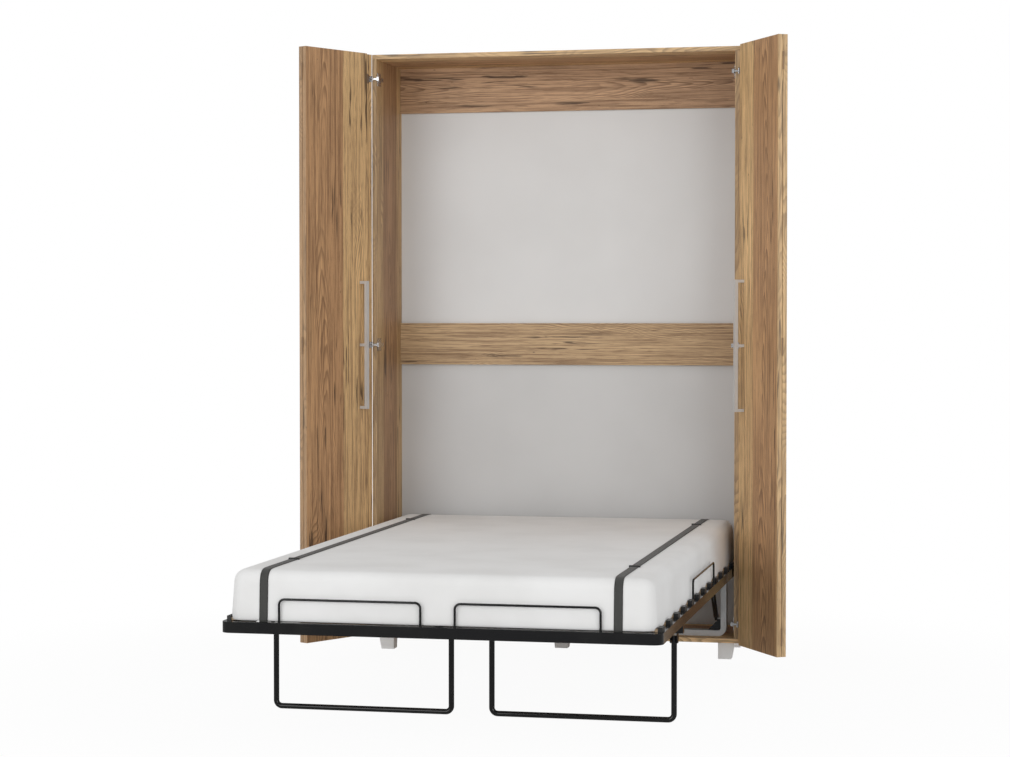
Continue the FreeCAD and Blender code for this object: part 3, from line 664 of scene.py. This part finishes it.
@dataclass(frozen=True)
class Webbing:
    """Woven strap with ribs along and across it and tight selvedges, drawn on the strap's own map."""

    name: str = "webbing"
    thread: Colour = (0.070, 0.071, 0.066)
    # Painted shade in the weave's low places, also the colour of worn patches
    valley_shade_and_wear: Colour = (0.030, 0.030, 0.028)
    selvedge: Colour = (0.018, 0.018, 0.017)
    ribs: float = 7.0
    picks: float = 420.0
    skew: float = 1.6
    height_span: Span = (-1.6, 1.6)
    selvedge_span: Span = (0.40, 0.46)
    selvedge_depth: float = 0.85
    wear: Figure = Figure(alike(40.0), (0.4, 0.8), 3.0)
    wear_depth: float = 0.3
    rough: Span = (0.85, 0.62)
    sheen: float = 0.15
    relief: float = 0.5
    relief_height: float = 0.0006

    def make(self) -> bpy.types.Material:
        """Builds the weave.

        Returns:
            The material.
        """
        graph = NodeGraph(self.name)
        strap = graph.parts(graph.node("UVMap", uv_map="strap").outputs[0])
        rib = graph.wave(strap["X"], self.ribs)
        weave = graph.wave(strap["Y"], self.picks, graph.times(rib, self.skew))
        height = graph.step(graph.plus(weave, rib), *self.height_span)
        offset = graph.math("ABSOLUTE", graph.minus(strap["X"], 0.5))
        edge = graph.step(offset, *self.selvedge_span, 0.0, self.selvedge_depth)
        wear = self.wear.mask(graph, graph.object_place(), self.wear_depth)
        # Painted shade: the weave's low places take the darker colour, and worn patches take it too
        colour = graph.mix(height, self.valley_shade_and_wear, self.thread)
        colour = graph.mix(wear, colour, self.valley_shade_and_wear)
        colour = graph.mix(edge, colour, self.selvedge)
        graph.set(Base_Color=colour, Sheen_Weight=self.sheen)
        graph.set(Roughness=graph.step(height, 0.0, 1.0, *self.rough))
        graph.bump(height, self.relief, self.relief_height)
        return graph.material


Finish = PlainFinish | BeechSlat

# The fine lines of a bar turned on a lathe
TURNED = Figure((240.0, 240.0, 2400.0), (0.25, 0.75), 3.0)

SILVER = Metal("silver_steel", (0.560, 0.568, 0.575), (0.500, 0.508, 0.516), 0.46, 0.30)
BLACK = Metal("black_steel", (0.006, 0.006, 0.007), (0.010, 0.010, 0.010), 0.10, specular=0.45)
BROWN = Metal("brown_lacquer", (0.320, 0.205, 0.118), (0.270, 0.170, 0.096), 0.48, 0.1)
ZINC = Metal("zinc_steel", (0.520, 0.525, 0.530), (0.400, 0.405, 0.410), 0.34, 1.0)
CHROME = Metal("chrome", (0.600, 0.600, 0.605), (0.520, 0.520, 0.525), 0.24, 1.0, texture=TURNED)
SATIN = Metal("satin_metal", (0.640, 0.640, 0.640), (0.580, 0.580, 0.580), 0.38, 0.35, texture=TURNED)
GREY_PLASTIC = Moulding("grey_plastic", (0.930, 0.930, 0.930), (0.900, 0.900, 0.900), 0.45)
BLACK_PLASTIC = Moulding("black_plastic", (0.014, 0.014, 0.014), (0.024, 0.024, 0.024), 0.42)


@dataclass
class Cabinet:
    """The oak carcass with its back sheets, feet and silver support frame."""

    nodes: dict[str, bpy.types.Object]
    boards: tuple[OakDecor, ...] = (
        # Painted light: the top, the bottom and the rear rails are brightened where they lie in shade;
        # painted shade: the left side is darkened. The rear rails are also faded toward grey.
        OakDecor("top_panel", Grain.LEVEL_SHELF, seed=0.50, tone_and_painted_light=1.18),
        OakDecor("bottom_panel", Grain.LEVEL_SHELF, seed=2.31, tone_and_painted_light=1.55),
        OakDecor("side_left", Grain.UPRIGHT_SIDE, seed=0.50, tone_and_painted_light=0.90),
        OakDecor("side_right", Grain.UPRIGHT_SIDE, seed=6.20),
        OakDecor("rear_rail_top", Grain.LEVEL_RAIL, seed=1.66, tone_and_painted_light=1.56, fade=0.45),
        OakDecor("rear_rail_middle", Grain.LEVEL_RAIL, seed=1.66, tone_and_painted_light=1.10, fade=0.40),
    )
    sheets: tuple[WhiteSheet, ...] = (
        WhiteSheet("back_upper"),
        # Painted shade: the lower sheet is the same white hardboard, given a darker colour for the
        # shade low in the cabinet
        WhiteSheet("back_lower", (0.630, 0.629, 0.626), (0.590, 0.588, 0.584)),
    )
    feet: tuple[str, ...] = (
        "foot_front_left", "foot_front_right", "foot_back_left", "foot_back_right", "foot_centre",
    )
    zinc: tuple[str, ...] = ("cabinet_screws", "spring_pins_post")
    black: tuple[str, ...] = ("support_gussets", "pivot_bolts")
    anchored: str = "rear_rail_top"
    anchor_span: float = 0.900
    anchor_drop: float = 0.060
    cap_radius: float = 0.0085
    cap_thick: float = 0.0012
    cap_round: float = 0.00072
    cap_sides: int = 32
    round_steps: int = 3

    def build(self) -> None:
        """Dresses each board, sheet, foot and fitting of the carcass."""
        for board in self.boards:
            oak = board.make()
            paint(self.nodes[board.name], oak)
            if board.name == self.anchored:
                self.cover_anchors(oak)
        for sheet in self.sheets:
            paint(self.nodes[sheet.name], sheet.make())
        paint_all(self.nodes, self.feet, GREY_PLASTIC)
        paint_all(self.nodes, ["support_frame"], SILVER)
        paint_all(self.nodes, self.zinc, ZINC)
        paint_all(self.nodes, self.black, BLACK)

    def cover_anchors(self, oak: bpy.types.Material) -> None:
        """Covers the wall anchors in the upper rail with flat round caps.

        Args:
            oak: The rail's own decor.
        """
        low, high = box_corners(self.anchored)
        front = low.y - self.cap_thick / 2
        for side in Side:
            shape = bmesh.new()
            bmesh.ops.create_cone(
                shape, cap_ends=True, segments=self.cap_sides, radius1=self.cap_radius,
                radius2=self.cap_radius, depth=self.cap_thick,
            )
            bmesh.ops.rotate(shape, matrix=Matrix.Rotation(math.pi / 2, 3, "X"), verts=shape.verts)
            rim = [e for e in shape.edges if all(v.co.y < 0 for v in e.verts)]
            bmesh.ops.bevel(
                shape, geom=rim, offset=self.cap_round, affect="EDGES", segments=self.round_steps,
                profile=0.5, material=-1,
            )
            place = (side.value * self.anchor_span / 2, front, high.z - self.anchor_drop)
            bmesh.ops.translate(shape, vec=place, verts=shape.verts)
            cap = new_object(f"anchor_cap_{side.word}", shape)
            paint(cap, oak)
            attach(cap, "cabinet")


@dataclass
class FoldingDoor:
    """One door: an outer leaf on the cabinet and an inner leaf folded against it, with its handle."""

    nodes: dict[str, bpy.types.Object]
    side: Side
    turn: float
    seed: float
    # Brightness multiplier on both leaves' print: painted light
    tone_and_painted_light: float
    leaves: tuple[str, ...] = ("outer", "inner")
    leaf_seed: float = 2.0

    def build(self) -> None:
        """Dresses the leaves, the bar handle and the hinges."""
        word = self.side.word
        for number, leaf in enumerate(self.leaves):
            name = f"door_{word}_{leaf}"
            seed = self.seed + number * self.leaf_seed
            finish = OakDecor(name, Grain.UPRIGHT_FRONT, self.turn, seed, self.tone_and_painted_light)
            paint(self.nodes[name], finish.make())
        paint_all(self.nodes, [f"handle_{word}"], SATIN)
        paint_all(self.nodes, [f"hinge_cups_{word}", f"hinge_arms_{word}"], CHROME)
        paint_all(self.nodes, [f"fold_leaf_{word}_{leaf}" for leaf in self.leaves], BROWN)


@dataclass
class BedFrame:
    """The black steel frame that folds down, with its slats, stops, legs and gas springs."""

    nodes: dict[str, bpy.types.Object]
    black: tuple[str, ...] = (
        "frame_left", "frame_right", "frame_joiner", "head_bar", "centre_beam", "cross_bar",
        "stop_foot_left", "stop_foot_right", "stop_side_left", "stop_side_right",
        "leg_left", "leg_right", "leg_brackets", "spring_brackets",
        "spring_cylinder_left", "spring_cylinder_right",
    )
    plastic: tuple[str, ...] = (
        "slat_holders_side", "slat_holders_centre", "sliders_left", "sliders_right", "pivot_bushes",
    )
    bright: tuple[str, ...] = ("spring_rod_left", "spring_rod_right")

    def build(self) -> None:
        """Dresses the frame, the slats and their holders, the legs and the springs."""
        paint_all(self.nodes, self.black, BLACK)
        paint_all(self.nodes, self.plastic, BLACK_PLASTIC)
        paint_all(self.nodes, self.bright, CHROME)
        paint_all(self.nodes, ["slats"], BeechSlat())


@dataclass
class Mattress:
    """The padded mattress: a rounded block, blown up a little as cloth round its foam."""

    # The block: its roundings, the steps that each is cut into, and the cells of its cover
    corner: float = 0.042
    corner_steps: int = 6
    rim: float = 0.034
    rim_steps: int = 6
    lower_rim: float = 0.005
    lower_rim_steps: int = 2
    slack: float = 0.002
    grid: float = 0.032
    grid_snap: float = 0.0005

    # The swelling: its strength, its length in frames and the furthest that a point may move
    pressure: float = 0.05
    frames: int = 20
    quality: int = 5
    reach: float = 0.006

    # How far the sides lean in at the top, and how much the cover is evened out
    taper: float = 0.008
    evening: float = 0.3

    # How far the lower rim sinks, and how wide and high the stretch is that sinks
    sink: float = 0.0072
    sink_band: float = 0.024
    sink_rise: float = 0.040

    # The slats that carry it, and how far from a slat's middle it starts to sink and has sunk
    slat_rows: int = 13
    slat_wide: float = 0.040
    slat_hold: float = 0.026
    slat_free: float = 0.046

    def build(self) -> bpy.types.Object:
        """Makes the mattress in place of its CAD solid.

        Returns:
            The padded piece.
        """
        low, high = box_corners("mattress")
        piece = self.block(low, high)
        self.swell(piece)
        self.settle(piece, low, high)
        self.fit(piece, low, high)
        self.sag(piece, low, high)
        smooth(piece)
        finish_piece(piece, MattressCloth().make(), "bed", "mattress")
        return piece

    def block(self, low: Vector, high: Vector) -> bpy.types.Object:
        """Makes the rounded starting block.

        Args:
            low: Lowest corner of the CAD solid.
            high: Highest corner of the CAD solid.

        Returns:
            An evenly cut block a little smaller than the solid.
        """
        shape = bmesh.new()
        bmesh.ops.create_cube(shape, size=1.0)
        size = high - low - Vector((2, 2, 1)) * self.slack
        bmesh.ops.scale(shape, vec=size, verts=shape.verts)
        bmesh.ops.translate(shape, vec=(low + high) / 2, verts=shape.verts)
        middle = (low.z + high.z) / 2
        roundings = (
            ({True, False}, self.corner, self.corner_steps),
            ({True}, self.rim, self.rim_steps),
            ({False}, self.lower_rim, self.lower_rim_steps),
        )
        for above, offset, steps in roundings:
            rounded = [e for e in shape.edges if {v.co.z > middle for v in e.verts} == above]
            bmesh.ops.bevel(
                shape, geom=rounded, offset=offset, affect="EDGES", segments=steps, profile=0.5,
                material=-1,
            )
        for axis in range(3):
            count = round(size[axis] / self.grid)
            way = Vector((axis == 0, axis == 1, axis == 2))
            for number in range(1, count):
                place = low + (high - low) * number / count
                whole = [*shape.verts, *shape.edges, *shape.faces]
                bmesh.ops.bisect_plane(
                    shape, geom=whole, dist=self.grid_snap, plane_co=place, plane_no=way
                )
        return new_object("mattress_cover", shape)

    def swell(self, piece: bpy.types.Object) -> None:
        """Blows the cover up a little as cloth and keeps each point near its start.

        Args:
            piece: The meshed block.
        """
        start = [v.co.copy() for v in piece.data.vertices]
        cloth = piece.modifiers.new("cover", "CLOTH")
        cloth.settings.use_pressure = True
        cloth.settings.uniform_pressure_force = self.pressure
        cloth.settings.effector_weights.gravity = 0.0
        cloth.settings.quality = self.quality
        cloth.point_cache.frame_start = 1
        cloth.point_cache.frame_end = self.frames
        for number in range(1, self.frames + 1):
            bpy.context.scene.frame_set(number)
        apply_modifiers(piece)
        bpy.context.scene.frame_set(1)
        for vertex, before in zip(piece.data.vertices, start):
            move = vertex.co - before
            if move.length > self.reach:
                vertex.co = before + move.normalized() * self.reach

    def settle(self, piece: bpy.types.Object, low: Vector, high: Vector) -> None:
        """Evens out the upper cover, leans the sides in towards the top and makes the cover finer.

        Args:
            piece: The swollen cover.
            low: Lowest corner it may reach.
            high: Highest corner it may reach.
        """
        shape = bmesh.new()
        shape.from_mesh(piece.data)
        centre = (low + high) / 2
        half = (high - low) / 2
        upper = [v for v in shape.verts if v.co.z > centre.z]
        bmesh.ops.smooth_vert(
            shape, verts=upper, factor=self.evening, use_axis_x=True, use_axis_y=True, use_axis_z=True
        )
        for vertex in shape.verts:
            rise = (vertex.co.z - low.z) / (high.z - low.z)
            for axis in (0, 1):
                lean = 1 - self.taper * rise / half[axis]
                offset = (vertex.co[axis] - centre[axis]) * lean
                vertex.co[axis] = centre[axis] + max(-half[axis], min(half[axis], offset))
            vertex.co.z = max(low.z, min(high.z, vertex.co.z))
        shape.to_mesh(piece.data)
        shape.free()
        finer = piece.modifiers.new("finer", "SUBSURF")
        finer.levels = finer.render_levels = 1
        apply_modifiers(piece)

    def fit(self, piece: bpy.types.Object, low: Vector, high: Vector) -> None:
        """Stretches the cover to fill the CAD solid's box.

        Args:
            piece: The finished cover.
            low: Lowest corner of the box.
            high: Highest corner of the box.
        """
        points = [vertex.co for vertex in piece.data.vertices]
        for axis in range(3):
            least = min(point[axis] for point in points)
            most = max(point[axis] for point in points)
            stretch = (high[axis] - low[axis]) / (most - least)
            for point in points:
                point[axis] = low[axis] + (point[axis] - least) * stretch

    def sag(self, piece: bpy.types.Object, low: Vector, high: Vector) -> None:
        """Lets the lower rim sink between the slats at the sides, and all along the foot.

        Args:
            piece: The fitted cover.
            low: Lowest corner of the box.
            high: Highest corner of the box.
        """
        slats_low, slats_high = box_corners("slats")
        first = slats_low.y + self.slat_wide / 2
        pitch = (slats_high.y - slats_low.y - self.slat_wide) / (self.slat_rows - 1)
        for vertex in piece.data.vertices:
            x, y, z = vertex.co
            share = 1 - (z - low.z) / self.sink_rise
            if share <= 0:
                continue
            hang = 0.0
            if y < low.y + self.sink_band:
                hang = 1.0
            elif min(x - low.x, high.x - x) < self.sink_band:
                row = (y - first) / pitch
                away = abs(row - round(row)) * pitch
                hang = (away - self.slat_hold) / (self.slat_free - self.slat_hold)
            vertex.co.z -= self.sink * share * max(0.0, min(1.0, hang))


@dataclass
class Strap:
    """One webbing strap pulled over the mattress from the foot rail to the head bar."""

    side: Side
    thick: float = 0.0016
    lift: float = 0.0005
    pitch: float = 0.012
    cut: float = 0.005
    across: int = 6

    # The rays that feel for the mattress: how many, how far off they start, and the sides' blind ends
    side_rays: int = 16
    top_rays: int = 240
    ray_start: float = 1.0
    ray_margin: float = 0.02

    def build(self, mattress: bpy.types.Object) -> None:
        """Lays the strap on the finished mattress.

        Args:
            mattress: The padded piece it hugs.
        """
        node = f"strap_{self.side.word}"
        low, high = box_corners(node)
        line = self.route(mattress, low, high)
        piece = self.ribbon(line, low.x, high.x)
        wall = piece.modifiers.new("thickness", "SOLIDIFY")
        wall.thickness = self.thick
        wall.offset = 1.0
        apply_modifiers(piece)
        smooth(piece)
        finish_piece(piece, Webbing().make(), "bed", node)

    def ribbon(self, line: list[Point], left: float, right: float) -> bpy.types.Object:
        """Draws a row of edges along the strap's line, with a map in strap widths and metres.

        Args:
            line: Points (y, z) of the strap's underside.
            left: X of its left edge.
            right: X of its right edge.

        Returns:
            The strap without its thickness, facing away from the mattress.
        """
        shape = bmesh.new()
        layer = shape.loops.layers.uv.new("strap")
        row = [
            shape.verts.new((left + (right - left) * step / self.across, *line[0]))
            for step in range(self.across + 1)
        ]
        places = {vertex: (step / self.across, 0.0) for step, vertex in enumerate(row)}
        edges = [shape.edges.new(pair) for pair in zip(row, row[1:])]
        travelled = 0.0
        for before, after in zip(line, line[1:]):
            travelled += math.dist(before, after)
            made = bmesh.ops.extrude_edge_only(shape, edges=edges)["geom"]
            fresh = [item for item in made if isinstance(item, bmesh.types.BMVert)]
            drawn = [item for item in made if isinstance(item, bmesh.types.BMEdge)]
            edges = [edge for edge in drawn if all(vertex in fresh for vertex in edge.verts)]
            for vertex in fresh:
                vertex.co.y, vertex.co.z = after
                places[vertex] = ((vertex.co.x - left) / (right - left), travelled)
        for face in shape.faces:
            for loop in face.loops:
                loop[layer].uv = places[loop.vert]
        bmesh.ops.recalc_face_normals(shape, faces=shape.faces)
        top = max(shape.faces, key=lambda face: face.calc_center_median().z)
        if top.normal.z < 0:
            bmesh.ops.reverse_faces(shape, faces=shape.faces)
        return new_object(f"webbing_strap_{self.side.word}", shape)

    def route(self, mattress: bpy.types.Object, low: Vector, high: Vector) -> list[Point]:
        """Finds the strap's line over the mattress, pulled straight over every hollow.

        Args:
            mattress: The padded piece.
            low: Lowest corner of the strap's CAD node.
            high: Highest corner of the strap's CAD node.

        Returns:
            Points (y, z) of the strap's underside from the foot rail to the head bar.
        """
        tree = BVHTree.FromObject(mattress, bpy.context.evaluated_depsgraph_get())
        middle = (low.x + high.x) / 2
        found = []
        for number in range(self.side_rays):
            share = self.ray_margin + (1 - 2 * self.ray_margin) * number / (self.side_rays - 1)
            level = low.z + (high.z - low.z) * share
            for start, way in ((low.y - self.ray_start, 1.0), (high.y + self.ray_start, -1.0)):
                hit = tree.ray_cast(Vector((middle, start, level)), Vector((0, way, 0)))[0]
                if hit:
                    found.append((hit.y - way * self.lift, hit.z))
        for number in range(self.top_rays):
            y = low.y + (high.y - low.y) * number / (self.top_rays - 1)
            hit = tree.ray_cast(Vector((middle, y, high.z + self.ray_start)), Vector((0, 0, -1)))[0]
            if hit:
                found.append((y, hit.z + self.lift))
        ends = [min(found), max(found)]
        found += [(ends[0][0], low.z), (ends[1][0], low.z)]
        return self.even(upper_hull(found))

    def even(self, corners: list[Point]) -> list[Point]:
        """Divides the long runs of a line.

        Args:
            corners: The line's corners.

        Returns:
            The line with points no further apart than the pitch.
        """
        line = [corners[0]]
        for before, after in zip(corners, corners[1:]):
            count = max(1, math.ceil(math.dist(before, after) / self.pitch))
            for number in range(1, count + 1):
                share = number / count
                line.append(tuple(a + (b - a) * share for a, b in zip(before, after)))
        return line


@dataclass
class Studio:
    """The pale floor, the soft lamps and the camera at the photograph's place."""

    eye: Triple = (1.55626, -8.27840, 1.20123)
    yaw: float = 0.21078
    pitch: float = 0.02558
    focal: float = 2303.3
    picture: float = 1010.0
    sensor: float = 36.0
    ambient: float = 0.69
    mirrored: float = 0.30
    view_end: float = 100.0

    key_place: Triple = (-3.6, -8.4, 2.0)
    key_power: float = 156.0
    fill_place: Triple = (5.0, -7.6, 1.9)
    fill_power: float = 142.0
    lamp_target: Triple = (0.0, -0.6, 0.9)
    lamp_size: float = 4.4

    # The floor: how far from its middle the shadow fades, and its white glow there and beyond
    floor: Colour = (0.86, 0.86, 0.86)
    floor_patch: Colour = (0.8428, 0.8428, 0.8428)
    floor_clouds: Figure = Figure(alike(3.0))
    floor_rough: float = 0.9
    floor_size: float = 30.0
    floor_drop: float = 0.0005
    shadow_middle: Triple = (0.0, -0.9, 0.0)
    shadow_reach: Span = (1.2, 2.6)
    shadow_glow: Span = (0.95, 1.0)

    def build(self) -> None:
        """Sets up the world, the floor, the lamps and the camera."""
        self.world()
        self.ground()
        self.lamp("key", self.key_place, self.key_power)
        self.lamp("fill", self.fill_place, self.fill_power)
        self.camera()

    def world(self) -> None:
        """White to the eye, grey as light and dim in reflections."""
        made = bpy.data.worlds.new("studio")
        made.use_nodes = True
        tree = made.node_tree
        tree.nodes.clear()
        path = tree.nodes.new("ShaderNodeLightPath")
        surface = None
        steps = (
            (None, self.ambient),
            ("Is Glossy Ray", self.mirrored),
            ("Is Camera Ray", 1.0),
            ("Is Transmission Ray", 1.0),
        )
        for ray, strength in steps:
            room = tree.nodes.new("ShaderNodeBackground")
            room.inputs["Color"].default_value = (1.0, 1.0, 1.0, 1.0)
            room.inputs["Strength"].default_value = strength
            if ray is None:
                surface = room.outputs[0]
                continue
            mixed = tree.nodes.new("ShaderNodeMixShader")
            tree.links.new(path.outputs[ray], mixed.inputs["Fac"])
            tree.links.new(surface, mixed.inputs[1])
            tree.links.new(room.outputs[0], mixed.inputs[2])
            surface = mixed.outputs[0]
        output = tree.nodes.new("ShaderNodeOutputWorld")
        tree.links.new(surface, output.inputs["Surface"])
        bpy.context.scene.world = made

    def ground(self) -> None:
        """A wide pale floor that shows white with a faint shadow."""
        shape = bmesh.new()
        bmesh.ops.create_grid(shape, x_segments=1, y_segments=1, size=self.floor_size)
        bmesh.ops.translate(shape, vec=(0.0, 0.0, -self.floor_drop), verts=shape.verts)
        piece = new_object("floor", shape)
        graph = NodeGraph("floor")
        place = graph.object_place()
        colour = graph.mix(self.floor_clouds.mask(graph, place), self.floor, self.floor_patch)
        graph.set(Base_Color=colour, Roughness=self.floor_rough)
        path = graph.node("LightPath")
        seen = graph.math("MAXIMUM", path.outputs["Is Camera Ray"], path.outputs["Is Transmission Ray"])
        seen = graph.math("MAXIMUM", seen, path.outputs["Is Glossy Ray"])
        away = graph.node("VectorMath", operation="DISTANCE")
        graph.feed(away.inputs[0], place)
        away.inputs[1].default_value = self.shadow_middle
        glow = graph.node("Emission")
        dim = graph.times(path.outputs["Is Glossy Ray"], 1.0 - self.mirrored)
        graph.feed(glow.inputs["Strength"], graph.minus(1.0, dim))
        mixed = graph.node("MixShader")
        share = graph.step(away.outputs["Value"], *self.shadow_reach, *self.shadow_glow)
        graph.feed(mixed.inputs["Fac"], graph.times(seen, share))
        graph.feed(mixed.inputs[1], graph.shader.outputs[0])
        graph.feed(mixed.inputs[2], glow.outputs[0])
        graph.feed(graph.tree.nodes["Material Output"].inputs["Surface"], mixed.outputs[0])
        paint(piece, graph.material)

    def lamp(self, name: str, place: Triple, power: float) -> None:
        """Hangs one soft lamp that faces the bed.

        Args:
            name: The lamp's name.
            place: Where it hangs.
            power: Its power in watts.
        """
        data = bpy.data.lights.new(name, "AREA")
        data.energy = power
        data.size = self.lamp_size
        lamp = bpy.data.objects.new(name, data)
        lamp.location = place
        way = Vector(self.lamp_target) - Vector(place)
        lamp.rotation_euler = way.to_track_quat("-Z", "Y").to_euler()
        bpy.context.scene.collection.objects.link(lamp)

    def camera(self) -> None:
        """Sets the camera at the photograph's viewing angle."""
        data = bpy.data.cameras.new("camera")
        data.sensor_width = self.sensor
        data.lens = self.sensor * self.focal / self.picture
        data.clip_end = self.view_end
        camera = bpy.data.objects.new("camera", data)
        camera.location = self.eye
        camera.rotation_euler = (math.pi / 2 - self.pitch, 0.0, self.yaw)
        bpy.context.scene.collection.objects.link(camera)
        bpy.context.scene.camera = camera
        bpy.context.scene.view_settings.view_transform = "Standard"


def box_corners(node: str) -> tuple[Vector, Vector]:
    """The lowest and highest corner of a CAD node's box."""
    low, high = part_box(node)
    return Vector(low), Vector(high)


def upper_hull(points: list[Point]) -> list[Point]:
    """Pulls a string over points in a plane.

    Args:
        points: The points (y, z).

    Returns:
        The corners of the string from the first y to the last.
    """
    hull: list[Point] = []
    for point in sorted(set(points)):
        while len(hull) > 1:
            (ay, az), (by, bz) = hull[-2:]
            if (by - ay) * (point[1] - az) - (bz - az) * (point[0] - ay) < -SLIGHT_BEND:
                break
            hull.pop()
        hull.append(point)
    return hull


def new_object(name: str, shape: bmesh.types.BMesh) -> bpy.types.Object:
    """Turns a bmesh into an object at the origin.

    Args:
        name: The object's name.
        shape: The bmesh, which is freed.

    Returns:
        The object, linked to the scene.
    """
    mesh = bpy.data.meshes.new(name)
    shape.to_mesh(mesh)
    shape.free()
    made = bpy.data.objects.new(name, mesh)
    bpy.context.scene.collection.objects.link(made)
    return made


def apply_modifiers(piece: bpy.types.Object) -> None:
    """Makes a piece's modified shape its own.

    Args:
        piece: The piece, which loses its modifiers.
    """
    graph = bpy.context.evaluated_depsgraph_get()
    mesh = bpy.data.meshes.new_from_object(piece.evaluated_get(graph), depsgraph=graph)
    piece.modifiers.clear()
    old = piece.data
    piece.data = mesh
    bpy.data.meshes.remove(old)
    mesh.name = piece.name


def smooth(piece: bpy.types.Object) -> None:
    """Shades a piece smooth."""
    piece.data.polygons.foreach_set("use_smooth", [True] * len(piece.data.polygons))


def paint(piece: bpy.types.Object, material: bpy.types.Material) -> None:
    """Gives a piece one finish on all its faces.

    Args:
        piece: The object.
        material: Its finish.
    """
    piece.data.materials.clear()
    piece.data.materials.append(material)
    LOG.info("dressed %s in %s", piece.name, material.name)


def paint_all(nodes: dict[str, bpy.types.Object], names: Iterable[str], finish: Finish) -> None:
    """Gives some CAD nodes one finish.

    Args:
        nodes: All CAD nodes by name.
        names: The nodes to paint.
        finish: Their finish, which is made once.
    """
    material = finish.make()
    for name in names:
        paint(nodes[name], material)


def finish_piece(
    piece: bpy.types.Object, material: bpy.types.Material, body: str, node: str
) -> None:
    """Paints a new piece and ties it to the frame.

    Args:
        piece: The piece.
        material: Its finish.
        body: The body that carries it.
        node: The CAD node that it stands for.
    """
    paint(piece, material)
    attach(piece, body)
    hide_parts(node)


def main() -> None:
    """Loads the frame and dresses it."""
    logging.basicConfig(level=logging.INFO, format="%(name)s: %(message)s")
    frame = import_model()
    nodes = frame["nodes"]
    Cabinet(nodes).build()
    # Painted light: both doors' print is brightened, the right door more than the left
    FoldingDoor(nodes, Side.LEFT, turn=119.0, seed=0.537, tone_and_painted_light=1.13).build()
    FoldingDoor(nodes, Side.RIGHT, turn=-121.0, seed=0.486, tone_and_painted_light=1.22).build()
    BedFrame(nodes).build()
    mattress = Mattress().build()
    for side in Side:
        Strap(side).build(mattress)
    Studio().build()


if __name__ == "__main__":
    main()
